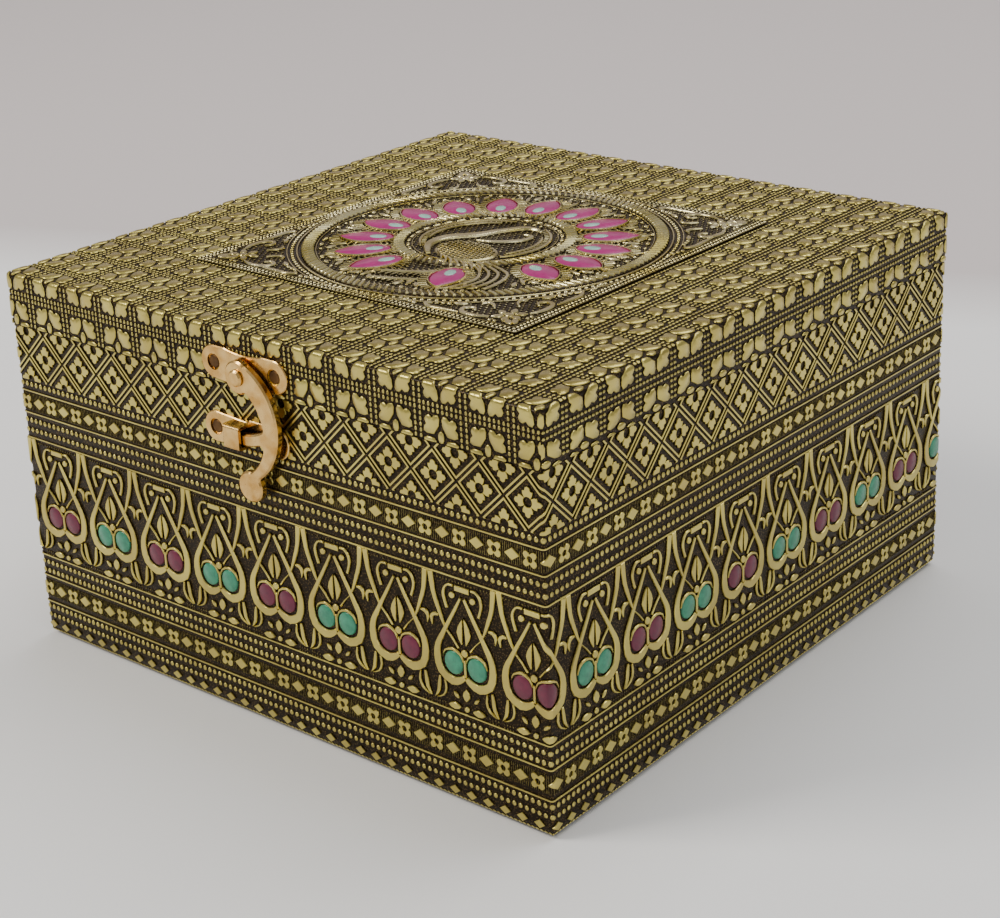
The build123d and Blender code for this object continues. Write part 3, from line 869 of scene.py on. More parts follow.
class GIFTBOX_OT_finishes(bpy.types.Operator):
    """Give every piece of the frame its finish"""

    bl_idname = "giftbox.finishes"
    bl_label = "Finish the frame's pieces"

    def execute(self, context):
        make_materials(context)
        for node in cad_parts.values():
            for slot in node.material_slots:
                slot.material = materials[slot.material.name.split(".")[0]]
        return {"FINISHED"}


def wrapped_skin(levels, name):
    """A closed skin drawn through square loops, each given as half width, height and corner."""
    loops = [
        [(x, y, height) for x, y in rounded_square(half, corner)]
        for half, height, corner in levels
    ]
    count = len(loops[0])
    skin = flat_loop([place[:2] for place in loops[0]], "NOTHING")
    skin.name = name
    move_points(skin, loops[0])
    only(skin)
    bpy.ops.object.mode_set(mode="EDIT")
    bpy.ops.mesh.select_mode(type="EDGE")
    bpy.ops.mesh.select_all(action="SELECT")
    for loop, following in zip(loops, loops[1:]):
        before = [Vector(place) for place in loop]
        bpy.ops.mesh.extrude_region_move(TRANSFORM_OT_translate={"value": (0, 0, 0)})
        bpy.ops.object.mode_set(mode="OBJECT")
        for vertex in skin.data.vertices[-count:]:
            nearest = min(range(count), key=lambda i: (before[i] - vertex.co).length)
            vertex.co = following[nearest]
        bpy.ops.object.mode_set(mode="EDIT")
    bpy.ops.mesh.select_mode(type="VERT")
    bpy.ops.object.mode_set(mode="OBJECT")
    for edge in skin.data.edges:
        ends = [vertex // count for vertex in edge.vertices]
        edge.select = ends[0] == ends[1] and ends[0] in (0, len(levels) - 1)
    bpy.ops.object.mode_set(mode="EDIT")
    bpy.ops.mesh.select_mode(type="EDGE")
    bpy.ops.mesh.bridge_edge_loops()
    bpy.ops.mesh.select_mode(type="VERT")
    bpy.ops.mesh.select_all(action="SELECT")
    bpy.ops.mesh.normals_make_consistent(inside=False)
    bpy.ops.object.mode_set(mode="OBJECT")
    return skin


class GIFTBOX_OT_body_sheet(bpy.types.Operator):
    """Wrap the walls in sheet, folded under the base, with the lap of its seam"""

    bl_idname = "giftbox.body_sheet"
    bl_label = "Body sheet"

    def execute(self, context):
        inside = BODY_HALF - SHEET
        bend_top = BODY_FOOT + FOOT_BEND
        # Up the inner face, over the rim, down the outer face, round the foot and under the base
        levels = [
            (inside - 2.4, BODY_FOOT + SHEET, 0.3),
            (inside, bend_top, 0.4),
            (inside, BODY_TOP - 0.2, 0.4),
            (inside + 0.12, BODY_TOP, 0.45),
            (BODY_HALF - 0.1, BODY_TOP, 0.6),
            (BODY_HALF, BODY_TOP - 0.1, BODY_CORNER),
        ]
        for step in range(7):
            angle = math.radians(15 * step)
            drawn_in = FOOT_BEND * (1 - math.cos(angle))
            corner = max(BODY_CORNER - drawn_in, 0.15)
            levels.append((BODY_HALF - drawn_in, bend_top - FOOT_BEND * math.sin(angle), corner))
        levels += [(BODY_HALF - FLANGE, BODY_FOOT + rise, 0.15) for rise in (0.0, SHEET)]
        skin = wrapped_skin(levels, "body_sheet_skin")
        move_points(skin, points_of(skin) * MM)
        dress(skin, "box", materials["embossed_brass"])
        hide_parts("body_sheet")
        last = seam_ends()[1]
        lap = raised(block(last - 1.1, 4.0, last - 0.2, BODY_TOP - 0.2), *SEAM_LAP)
        finish_wall_relief([lap], "wall_seam_lap", angle=50, rubbed=LITTLE_RUBBED)
        return {"FINISHED"}


def along_the_walls(heights, pitch, shift=0.0):
    """Places all round the walls at these heights, one pitch apart."""
    return [(x + shift, z, 0) for z in heights for x in repeats(FIRST_MOTIF, pitch)]


class GIFTBOX_OT_wall_pearls(bpy.types.Operator):
    """Press the rows of pearls round the walls"""

    bl_idname = "giftbox.wall_pearls"
    bl_label = "Wall pearls"

    def execute(self, context):
        pitch = in_mm(context, "frieze_pitch") / PEARLS_PER_MOTIF
        for name, rows, half_tall in (
            ("wall_pearls_tall", TALL_PEARL_ROWS, TALL_PEARL_HALF),
            ("wall_pearls_short", SHORT_PEARL_ROWS, SHORT_PEARL_HALF),
        ):
            unit = raised(oval(0, 0, PEARL_HALF_WIDE, half_tall, 8), *WALL_PEARL)
            pearls = laid(unit, along_the_walls(rows, pitch), name)
            finish_wall_relief([pearls], name, cuts=False, angle=SMOOTH_PEARLS)
        return {"FINISHED"}


def eyed_flower(quarter, eye, relief, slope):
    """A flower pressed up round a dark eye, from a quarter of its outline."""
    outer = quarters(quarter)
    inner = [(eye * x / math.hypot(x, y), eye * y / math.hypot(x, y)) for x, y in outer]
    return raised_ring(outer, inner, relief, slope)


class GIFTBOX_OT_diaper(bpy.types.Operator):
    """Press the diaper of flowers in diamond frames below the rim"""

    bl_idname = "giftbox.diaper"
    bl_label = "Wall diaper"

    def execute(self, context):
        pitch = in_mm(context, "frieze_pitch") * 2 / 3
        petal = [(4.3, 0.0), (3.9, 0.75), (3.1, 0.95), (2.95, 1.7), (2.1, 1.65), (1.14, 1.14)]
        petal += [(y, x) for x, y in petal[-2:0:-1]]
        flower = eyed_flower(petal, DIAPER_EYE, in_mm(context, "relief"), 0.1)
        reach = pitch / 2 - DIAPER_GAP
        outer = quarters([(reach + DIAPER_FRAME_HALF, 0)])
        inner = quarters([(reach - DIAPER_FRAME_HALF, 0)])
        cell = joined([flower, raised_ring(outer, inner, *DIAPER_FRAME)], "diaper_cell")
        places = along_the_walls([DIAPER_MIDDLE], pitch)
        places += [
            (x + pitch / 2, z + side * pitch / 2, 0) for x, z, _ in places for side in (-1, 1)
        ]
        strip = laid(cell, places, "wall_diaper")
        cut(strip, (0, BODY_TOP - 0.15, 0), (0, 1, 0), away=True)
        cut(strip, (0, DIAPER_FOOT, 0), (0, -1, 0), away=True)
        finish_wall_relief([strip], "wall_diaper")
        return {"FINISHED"}


class GIFTBOX_OT_wall_bands(bpy.types.Operator):
    """Press the rails, and the bands of lozenges and quatrefoils between them"""

    bl_idname = "giftbox.wall_bands"
    bl_label = "Wall bands"

    def execute(self, context):
        pitch = in_mm(context, "frieze_pitch") / 2
        relief = in_mm(context, "relief")
        first, last = seam_ends()
        rails = [
            raised(block(first - 1, z - RAIL_HALF, last + 1, z + RAIL_HALF), *RAIL)
            for z in RAIL_HEIGHTS
        ]
        lobe = [(1.4, 0.0), (1.95, 0.45), (2.25, 1.2), (1.95, 1.95), (1.2, 2.25), (0.45, 1.95)]
        quatrefoil = eyed_flower(lobe, QUATREFOIL_EYE, relief, 0.14)
        quatrefoil = laid(quatrefoil, [(pitch / 2, 0, 0)], "quatrefoil")
        lozenge = raised(diamond(*LOZENGE_HALF), relief, 0.2, 0.08)
        places = along_the_walls(LOZENGE_BANDS, pitch, pitch / 2)
        motifs = laid(joined([lozenge, quatrefoil], "band_unit"), places, "band_motifs")
        finish_wall_relief([*rails, motifs], "wall_bands")
        self.press_ribs(pitch)
        return {"FINISHED"}

    def press_ribs(self, pitch):
        """Fine upright ribs behind the lozenges, and the rhombi and scallops at the foot."""
        places = along_the_walls(LOZENGE_BANDS, 2 * pitch / RIBS_PER_MOTIF)
        wide, tall = RIB_HALF
        ribs = laid(raised(block(-wide, -tall, wide, tall), *RIB), places, "wall_ribs")
        finish_wall_relief([ribs], "wall_ribs", cuts=False, rubbed=RIB_RUBBED)
        row = along_the_walls([RHOMBUS_ROW], pitch / 2)
        rhombi = laid(raised(diamond(*RHOMBUS_HALF), *RHOMBUS), row, "rhombi")
        row = along_the_walls([SCALLOP_ROW], pitch / 8)
        scallops = laid(raised(oval(0, 0, *SCALLOP_HALF, 6), *SCALLOP), row, "scallops")
        finish_wall_relief([rhombi, scallops], "wall_foot_band")


def frieze_side():
    """Outlines of one half of a teardrop motif."""
    lines = [
        [
            (10.6, 19.3, 0.95), (9.9, 13.7, 0.75), (8.65, 9.9, 0.7), (7.2, 6.1, 0.5),
            (6.3, 4.3, 0.3),
        ],
        [(5.8, 3.5, 0.3), (3.7, 1.4, 0.32), (1.9, -0.85, 0.35)],
        [
            (0.55, 14.0, 0.45), (2.6, 10.2, 0.6), (5.6, 5.0, 0.7), (7.45, 1.6, 0.85),
            (9.0, -1.4, 1.0), (9.45, -4.9, 1.2), (8.4, -8.9, 1.3), (4.6, -10.9, 1.4),
            (1.7, -10.0, 1.1), (0.3, -8.9, 0.8),
        ],
        [
            (2.9, 16.9, 0.4), (4.6, 16.9, 0.45), (5.8, 15.8, 0.45), (6.4, 14.1, 0.5),
            (6.1, 12.2, 0.45), (5.3, 9.9, 0.5),
        ],
        [(8.4, 7.0, 0.35), (9.9, 7.0, 0.65), (10.9, 5.8, 0.6), (10.6, 3.6, 0.15)],
        [(8.9, -10.7, 0.35), (9.2, -12.8, 0.6), (9.6, -15.4, 0.6), (10.9, -17.5, 0.2)],
        [(7.3, -11.4, 0.3), (6.9, -13.9, 0.4), (7.9, -16.2, 0.4), (10.4, -17.5, 0.2)],
        [
            (7.6, -4.6, 0.15), (6.6, -2.5, 0.42), (4.0, -1.5, 0.5), (1.4, -2.6, 0.42),
            (0.5, -4.6, 0.2),
        ],
    ]
    half_leaf = [
        (0.12, 8.4), (1.0, 7.3), (2.0, 5.5), (2.4, 3.9), (1.8, 2.0), (0.9, 0.5), (0.55, 0.6),
        (0.4, 3.5),
    ]
    small = [
        oval(3.5, 14.1, 1.04, 1.04, 8),
        leaf(3.5, -14.8, 2.6, 1.3, 45),
        leaf(4.2, -18.2, 4.6, 2.3),
        half_leaf,
    ]
    return [band(line, 2) for line in lines] + small


class GIFTBOX_OT_frieze(bpy.types.Operator):
    """Press the teardrop frieze and fill its cells with enamel, pink and green-blue in turn"""

    bl_idname = "giftbox.frieze"
    bl_label = "Wall frieze"

    def execute(self, context):
        pitch = in_mm(context, "frieze_pitch")
        middle = [
            block(-2.5, 15.6, 2.5, 17.3),
            block(-0.45, -8.9, 0.45, -3.7),
            oval(0, -1.8, 1.2, 1.2, 8),
            oval(0, -18.2, 0.9, 0.9, 8),
            leaf(0, -14.1, 3.9, 2.6, 90),
        ]
        teardrop = pressed(both_sides(frieze_side()) + middle, FRIEZE_LINE, "teardrop")
        places = along_the_walls([FRIEZE_MIDDLE], pitch)
        finish_wall_relief([laid(teardrop, places, "frieze")], "wall_frieze")
        self.press_fine_pearls(pitch)
        for parity, colour in enumerate(("magenta", "turquoise")):
            x, y = CELL_MIDDLE
            ovals = [oval(side * x, y, *CELL_HALF, 16) for side in (-1, 1)]
            cell = pressed(ovals, ENAMEL_CELL, "cell")
            kept = [
                place for place in places if round((place[0] - FIRST_MOTIF) / pitch) % 2 == parity
            ]
            name = f"frieze_enamel_{colour}"
            finish_wall_relief([laid(cell, kept, name)], name, f"enamel_{colour}")
        return {"FINISHED"}

    def press_fine_pearls(self, pitch):
        """The seed pearls above the motifs, and those beside the leaves at their feet."""
        places = along_the_walls([FRIEZE_MIDDLE + SEED_ROW], pitch / SEEDS_PER_MOTIF)
        places += [
            (x + side * (7.6 + i * 0.98), FRIEZE_MIDDLE + y, 0)
            for x in repeats(FIRST_MOTIF, pitch)
            for side in (-1, 1) for i in range(4) for y in (-18.5, -19.5)
        ]
        seeds = laid(raised(oval(0, 0, *SEED_HALF, 6), *SEED_PEARL), places, "seed_pearls")
        finish_wall_relief(
            [seeds], "wall_seed_pearls", cuts=False, angle=SMOOTH_PEARLS, rubbed=LITTLE_RUBBED
        )


def in_panel(x, y, margin=0.0):
    """Whether a place on the lid lies in the medallion's panel."""
    return max(abs(x), abs(y)) < PANEL_HALF + margin


class GIFTBOX_OT_lid_flowers(bpy.types.Operator):
    """Press the four-petalled flowers over the lid and down its sides"""

    bl_idname = "giftbox.lid_flowers"
    bl_label = "Lid flowers"

    def execute(self, context):
        pitch = in_mm(context, "lid_pitch")
        petal = [
            (1.3, 1.9), (2.2, 0.5), (4.6, 0.35), (5.75, 0.9), (5.6, 2.3), (4.9, 3.0), (5.45, 4.1),
            (4.9, 5.2), (3.8, 5.6), (2.9, 4.9), (2.1, 5.8), (0.9, 5.9), (0.35, 4.9), (0.6, 3.0),
        ]
        other = [(x, -y) for x, y in petal][::-1]
        outlines = [petal, mirrored(petal), other, mirrored(other), oval(0, 0, 1.05, 1.75, 10)]
        unit = pressed(outlines, (in_mm(context, "relief"), 0.26, 0.1), "flower")
        steps = range(-1, 15)
        grid = [(GRID_X + i * pitch, GRID_Y + j * pitch, 0) for i in steps for j in steps]
        places = [place for place in grid if not in_panel(*place[:2])]
        finish_lid_relief(laid(unit, places, "lid_flowers"), "lid_flowers")
        return {"FINISHED"}


class GIFTBOX_OT_lid_pearls(bpy.types.Operator):
    """Press the mesh of pearls between the lid's flowers"""

    bl_idname = "giftbox.lid_pearls"
    bl_label = "Lid pearls"

    def execute(self, context):
        pitch = in_mm(context, "lid_pitch")
        half = in_mm(context, "mesh_pearl") / 2
        step = pitch / 10
        steps = [(i + 0.5) * step for i in range(-5, 5)]
        crossing = [(side * 0.89, step) for side in (-1, 1) for step in steps]
        crossing += [(step, side * 0.76) for side in (-1, 1) for step in steps[:4] + steps[6:]]
        middles = [
            (GRID_X + (i + 0.5) * pitch, GRID_Y + (j + 0.5) * pitch)
            for i in range(-2, 16) for j in range(-2, 16)
        ]
        taken = {(round(mx + x, 2), round(my + y, 2)) for mx, my in middles for x, y in crossing}
        places = []
        for x, y in sorted(taken):
            near, far = sorted((abs(x), abs(y)))
            if not in_panel(x, y, 0.5) and far < lid_reach() - 0.6 and near < LID_HALF - 0.3:
                places.append((x, y, 0))
        pearls = laid(raised(oval(0, 0, half, half * 1.36, 6), *MESH_PEARL), places, "lid_pearls")
        finish_relief(pearls, over_the_lid, "lid", angle=SMOOTH_PEARLS, rubbed=PEARL_RUBBED)
        return {"FINISHED"}


# The medallion


def polar(radius, degrees):
    """A point at this distance and direction from the lid's middle."""
    return radius * math.cos(math.radians(degrees)), radius * math.sin(math.radians(degrees))


def round_the_ring(unit, radius, count, name, turn=0.0):
    """Copies of a unit round a circle, each turned with it."""
    places = [(*polar(radius, 360 * i / count), 360 * i / count + turn) for i in range(count)]
    return laid(unit, places, name)


def circle(radius):
    """Outline of a circle round the lid's middle."""
    return oval(0, 0, radius, radius, CIRCLE_SIDES)


def finish_medallion_relief(piece, rubbed=(0.05, 0.4), angle=SMOOTH):
    """Lays a flat pattern on the medallion's plate, in polished brass."""
    finish_relief(piece, on_the_plate, "lid", "embossed_brass", "medallion_brass", angle, rubbed)


def plume(points, count, reach):
    """A tail feather: a smooth stem with slanted barbs down both sides."""
    line = smooth_line(points, count)
    along = np.gradient(line[:, :2], axis=0)
    turns = np.degrees(np.arctan2(along[:, 1], along[:, 0]))
    places = []
    for (x, y, half), turn in zip(line[1:-1], turns[1:-1]):
        for lean in (turn - 55, turn + 55):
            out_x, out_y = polar(half + reach / 2, lean)
            places.append((x + out_x, y + out_y, lean))
    barb = raised(block(-reach / 2, -0.24, reach / 2, 0.24), *PLUME_BARB)
    barbs = laid(barb, places, "plume_barbs")
    return [raised(band(points), *PLUME_STEM), barbs]


class GIFTBOX_OT_medallion_plate(bpy.types.Operator):
    """Press the medallion's plate with its square border of pearls"""

    bl_idname = "giftbox.medallion_plate"
    bl_label = "Medallion plate"

    def execute(self, context):
        plate = raised(rounded_square(PANEL_HALF, 2.0), PLATE, 0.12)
        plate.name = "medallion_plate"
        finish_relief(plate, on_the_lid, "lid", rubbed=(PLATE, 2 * PLATE))
        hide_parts("lid_medallion")
        side = [(i + 0.5) * BORDER_PITCH - PANEL_HALF for i in range(BORDER_PEARLS)]
        places = [
            (*placed([(x, -distance)], 0, 0, turn)[0], turn)
            for turn in (0, 90, 180, 270) for distance in BORDER_ROWS for x in side
            if abs(x) < distance + 0.2
        ]
        pearl = raised(oval(0, 0, *BORDER_PEARL_HALF, 6), *BORDER_PEARL)
        pearls = laid(pearl, places, "border_pearls")
        lines = [
            raised_ring(rounded_square(half, 1.2), rounded_square(half - 0.3, 1.0), *BORDER_LINE)
            for half in BORDER_LINES
        ]
        border = joined([pearls, *lines], "medallion_border")
        finish_medallion_relief(border, PEARL_RUBBED, SMOOTH_SMALL)
        self.punch_ground()
        return {"FINISHED"}

    def punch_ground(self):
        """The seeded ground behind the figures, low and little rubbed."""
        grid = [
            ((column + 0.5 * (row % 2)) * GROUND_PITCH, row * GROUND_PITCH * GROUND_ROW)
            for row in range(-36, 37) for column in range(-32, 32)
        ]
        seeded = []
        for x, y in grid:
            radius = math.hypot(x, y)
            in_corner = radius > CORNERS_FROM and max(abs(x), abs(y)) < CORNERS_HALF
            if radius < FIELD_RADIUS or in_corner:
                seeded.append((x, y, 0))
        ground = laid(raised(oval(0, 0, 0.5, 0.5, 6), *GROUND_SEED), seeded, "medallion_ground")
        finish_medallion_relief(ground, LITTLE_RUBBED, SMOOTH_PEARLS)


class GIFTBOX_OT_medallion_rings(bpy.types.Operator):
    """Press the rope ring, the beaded ring outside it and the ring round the middle"""

    bl_idname = "giftbox.medallion_rings"
    bl_label = "Medallion rings"

    def execute(self, context):
        rims = [
            raised_ring(circle(radius + width / 2), circle(radius - width / 2), height, 0.1)
            for radius, width, height in RING_LINES
        ]
        for radius, count, half_sizes, die in RING_BEADS:
            bead = raised(oval(0, 0, *half_sizes, 8), *die)
            rims.append(round_the_ring(bead, radius, count, "beads"))
        finish_medallion_relief(joined(rims, "medallion_lines"), (0.0, 0.4), SMOOTH_SMALL)
        for name, radius, half, count in RING_ROPES:
            core = raised_ring(circle(radius + half), circle(radius - half), *ROPE_CORE)
            long = half * 1.08
            strand = raised(block(-long, -STRAND_HALF, long, STRAND_HALF), *STRAND)
            strands = round_the_ring(strand, radius, count, name, STRAND_TURN)
            finish_medallion_relief(joined([core, strands], name), (0.4, 0.95))
        return {"FINISHED"}


def feather_outline(grown=0.0):
    """A pointed oval, its outer tip towards +x."""
    side = [
        (8.9, 0.0), (7.6, 1.6), (5.2, 3.5), (2.2, 4.8), (-1.2, 5.1), (-4.6, 4.3), (-7.2, 2.7),
        (-8.4, 1.0),
    ]
    side = [(x * (1 + grown / 9), y * (1 + grown / 5)) for x, y in side]
    return side + [(x, -y) for x, y in side[:0:-1]]


class GIFTBOX_OT_feathers(bpy.types.Operator):
    """Press the ring of feathers, fill them with pink enamel and set a pale eye in each"""

    bl_idname = "giftbox.feathers"
    bl_label = "Feathers"

    def execute(self, context):
        places = []
        for slot in range(FEATHER_SLOTS):
            if slot not in BARE_SLOTS:
                direction = FEATHER_TURN + (slot - FEATHER_SLOTS // 2) * 360 / FEATHER_SLOTS
                x, y = polar(FEATHER_RADIUS, direction)
                places.append((x + FEATHER_MIDDLE[0], y + FEATHER_MIDDLE[1], direction))
        rim = raised_ring(feather_outline(0.4), feather_outline(-0.1), *FEATHER_RIM)
        stem = raised(band([(9.0, 0, 0.35), (10.4, 0.4, 0.35), (12.0, 1.4, 0.3)]), *STEM)
        bud = raised(oval(12.6, 1.9, 0.8, 0.8, 8), *BUD)
        metal = joined([rim, self.barbs(), stem, bud], "feather_metal")
        finish_medallion_relief(laid(metal, places, "feather_rims"))
        for name, outline, die, slot, finish in (
            ("feather_enamel", feather_outline(-0.12), FEATHER_PAD, "magenta", "magenta"),
            ("feather_eyes", oval(-3.4, 0, 2.9, 1.85, 14), FEATHER_EYE, "turquoise", "eye"),
        ):
            fills = laid(raised(outline, *die), places, name)
            finish_relief(
                fills, on_the_plate, "lid", f"enamel_{slot}", f"feather_{finish}", SMOOTH_SMALL
            )
        return {"FINISHED"}

    def barbs(self):
        """The barbs that stand out all round one feather's rim."""
        long, wide = FEATHER_HALF
        places = []
        for i in range(30):
            angle = 2 * math.pi * (i + 0.5) / 30
            out = math.atan2(math.sin(angle) / wide, math.cos(angle) / long)
            x, y = long * math.cos(angle), wide * math.sin(angle)
            places.append((x + 1.4 * math.cos(out), y + 1.4 * math.sin(out), math.degrees(out)))
        return laid(raised(block(-1.35, -0.24, 1.35, 0.24), *BARB), places, "barbs")


class GIFTBOX_OT_sprigs(bpy.types.Operator):
    """Press the leaves and dots between the feathers, and the ornament of the four corners"""

    bl_idname = "giftbox.sprigs"
    bl_label = "Sprigs and corners"

    def execute(self, context):
        between = [
            (0, 0, FEATHER_TURN + (i + 0.5) * 360 / FEATHER_SLOTS) for i in range(FEATHER_SLOTS)
        ]
        turns = [(0, 0, 90 * quarter) for quarter in range(4)]
        sprays = laid(joined(self.spray(), "spray"), between, "sprays")
        corners = laid(joined(self.corner(), "corner"), turns, "corners")
        finish_medallion_relief(joined([sprays, corners], "medallion_sprigs"))
        return {"FINISHED"}

    def spray(self):
        """Three leaves and three dots that fill the gap between two feathers."""
        return [
            raised(leaf(46.6, 3.0, 4.0, 1.7, 34), *SPRIG),
            raised(leaf(46.6, -3.0, 4.0, 1.7, -34), *SPRIG),
            raised(oval(49.8, 0.0, 0.8, 0.8, 8), *SPRIG),
            raised(oval(49.6, 4.6, 0.6, 0.6, 8), *DOT),
            raised(oval(49.6, -4.6, 0.6, 0.6, 8), *DOT),
            raised(leaf(44.8, 0.0, 5.6, 1.5), *SPRIG),
        ]

    def corner(self):
        """A rosette in a corner, with the same curls, leaves and pearls down both its sides."""
        shapes = [raised(oval(51.6, 51.6, 1.5, 1.5, 10), *BUD)]
        for turn in range(15, 375, 60):
            x, y = polar(3.3, turn)
            shapes.append(raised(leaf(51.6 + x, 51.6 + y, 3.8, 2.3, turn), *ROSETTE_LEAF))
        curls = (
            [
                (55.4, 47.6, 0.3), (56.9, 43.4, 0.7), (56.3, 38.6, 0.85), (53.3, 37.0, 0.7),
                (51.9, 39.4, 0.6), (53.4, 41.0, 0.35),
            ],
            [
                (57.2, 37.6, 0.3), (57.3, 32.6, 0.65), (57.6, 28.0, 0.7), (56.1, 25.0, 0.55),
                (54.9, 26.9, 0.3),
            ],
            [(49.2, 44.4, 0.3), (47.0, 42.3, 0.55), (46.4, 39.9, 0.5), (48.0, 38.9, 0.3)],
        )
        outlines = [band(curl) for curl in curls]
        outlines += [leaf(56.2, 54.9, 4.6, 2.2, 58), leaf(51.2, 34.0, 4.2, 1.7, 118)]
        for x, y, step_x, step_y, radius, count in (
            (57.3, 22.0, -0.35, -1.9, 0.75, 4),
            (52.9, 31.2, 0.5, -1.8, 0.7, 3),
            (57.4, 51.0, 0.0, -1.7, 0.6, 2),
        ):
            outlines += [
                oval(x + step_x * i, y + step_y * i, radius, radius, 8) for i in range(count)
            ]
        swapped = [[(y, x) for x, y in outline][::-1] for outline in outlines]
        return shapes + [raised(outline, *CURL) for outline in outlines + swapped]


class GIFTBOX_OT_bird(bpy.types.Operator):
    """Press a plain peacock, an old Indian figure, in the middle, its train to the front"""

    bl_idname = "giftbox.bird"
    bl_label = "Bird"

    def execute(self, context):
        shapes = self.figure() + self.surround() + self.train()
        finish_medallion_relief(joined(shapes, "medallion_bird"), (0.2, 0.65))
        scales = []
        for row in range(-6, 7):
            for column in range(-8, 9):
                x, y = column * 1.75 + (row % 2) * 0.87, row * 1.4
                if (x / 10.0) ** 2 + (y / 7.3) ** 2 < 1:
                    scales.append((*placed([(x, y)], *BIRD_MIDDLE, BIRD_TILT)[0], BIRD_TILT))
        scale = raised(oval(0, 0, 0.7, 0.56, 6), *BIRD_SCALE)
        finish_medallion_relief(laid(scale, scales, "bird_scales"), (0.75, 1.05))
        return {"FINISHED"}

    def figure(self):
        """The bird's body, its neck and head, one wing and the dots of its crest."""
        neck = [
            (-5.0, -20.5, 0.8), (-11.0, -13.5, 1.5), (-11.2, -5.0, 2.0), (-5.0, 2.0, 1.9),
            (-1.0, 9.5, 1.5), (3.0, 15.0, 1.5), (7.5, 16.0, 0.9), (10.5, 14.2, 0.25),
        ]
        wing = [
            (-1.5, -2.6, 0.4), (5.5, 0.0, 0.9), (10.5, 4.8, 0.9), (10.8, 9.4, 0.7),
            (7.4, 9.6, 0.4),
        ]
        shapes = [
            raised(oval(*BIRD_MIDDLE, 11.5, 8.6, 22, BIRD_TILT), *BIRD_BODY),
            raised(band(neck), *NECK),
            raised(band(wing), *WING),
        ]
        for x, y in ((0.5, 18.8), (3.2, 19.9), (6.0, 19.6)):
            shapes.append(raised(oval(x, y, 0.7, 0.7, 8), *CREST_DOT))
        return shapes

    def surround(self):
        """The arcs and ticks round the bird, and the strokes at its breast."""
        shapes = []
        for radius, low, high in (
            (20.0, -38, 62), (17.4, -30, 38), (20.0, 100, 232), (17.6, 112, 205),
        ):
            arc = [
                (*polar(radius, low + (high - low) * i / 6), 0.28 if i in (0, 6) else 0.55)
                for i in range(7)
            ]
            shapes.append(raised(band(arc), *ARC))
        turns = [*range(-36, 60, 5), *range(104, 230, 5)]
        ticks = [(*polar(18.7, turn), turn + 20) for turn in turns]
        shapes.append(laid(raised(block(-0.8, -0.28, 0.8, 0.28), *TICK), ticks, "ticks"))
        for i in range(7):
            x, y = -4.0 + 3.1 * i, -19.0 - 0.7 * i + 0.175 * (i - 3) ** 2
            stroke = [(x, y, 0.3), (x + 3.4, y - 2.2, 0.6), (x + 6.2, y - 5.6, 0.3)]
            shapes.append(raised(band(stroke), *STROKE))
        return shapes

    def train(self):
        """The ribbons and plumes of the tail."""
        shapes = []
        for i in range(4):
            bow = 2.4 * i
            ribbon = [
                (13.5 + 0.4 * i, -22.0 + 0.6 * bow, 0.4),
                (20.0 + bow, -26.5 + 0.5 * bow, 0.6),
                (23.5 + bow, -33.0 + 0.5 * bow, 0.6),
                (22.0 + 1.3 * bow, -41.5 + 0.7 * bow, 0.65),
                (19.5 + 1.5 * bow, -44.8 + 0.9 * bow, 0.3),
            ]
            shapes.append(raised(band(ribbon), *RIBBON))
        for points, count, reach in (
            ([(13.0, -30.5, 0.4), (4.0, -36.5, 0.6), (-8.0, -41.5, 0.3)], 6, 2.9),
            ([(9.5, -41.5, 0.3), (3.0, -44.6, 0.5), (-4.5, -46.8, 0.3)], 4, 1.7),
            ([(14.5, -26.0, 0.3), (17.0, -33.0, 0.5), (16.5, -42.5, 0.3)], 6, 1.9),
        ):
            shapes += plume(points, count, reach)
        return shapes


# The lining


def stood_up(axis, start):
    """A way to stand a flat card up along x (0) or y (1), its back at this place across it."""

    def lay(points):
        along, up, thick = points.T
        across = start + thick
        return np.stack([along, across, up] if axis == 0 else [across, along, up], axis=1)

    return lay


def upholstered(outline, thickness, edge, lay, name, node, body):
    """A covered card with this outline, its edges rounded by the cloth wrapped over them."""
    card = flat_loop(outline, "NGON")
    card.name = name
    with editing(card):
        bpy.ops.mesh.extrude_region_move(TRANSFORM_OT_translate={"value": (0, 0, thickness)})
    face_outward(card)
    rounding = card.modifiers.new("rounding", "BEVEL")
    rounding.width = edge
    rounding.segments = 3
    rounding.limit_method = "ANGLE"
    only(card)
    bpy.ops.object.modifier_apply(modifier="rounding")
    move_points(card, lay(points_of(card) + [0, 0, ROOT]) * MM)
    face_outward(card)
    dress(card, body, materials["velvet_lining"], 50)
    if node:
        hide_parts(node)
    return card


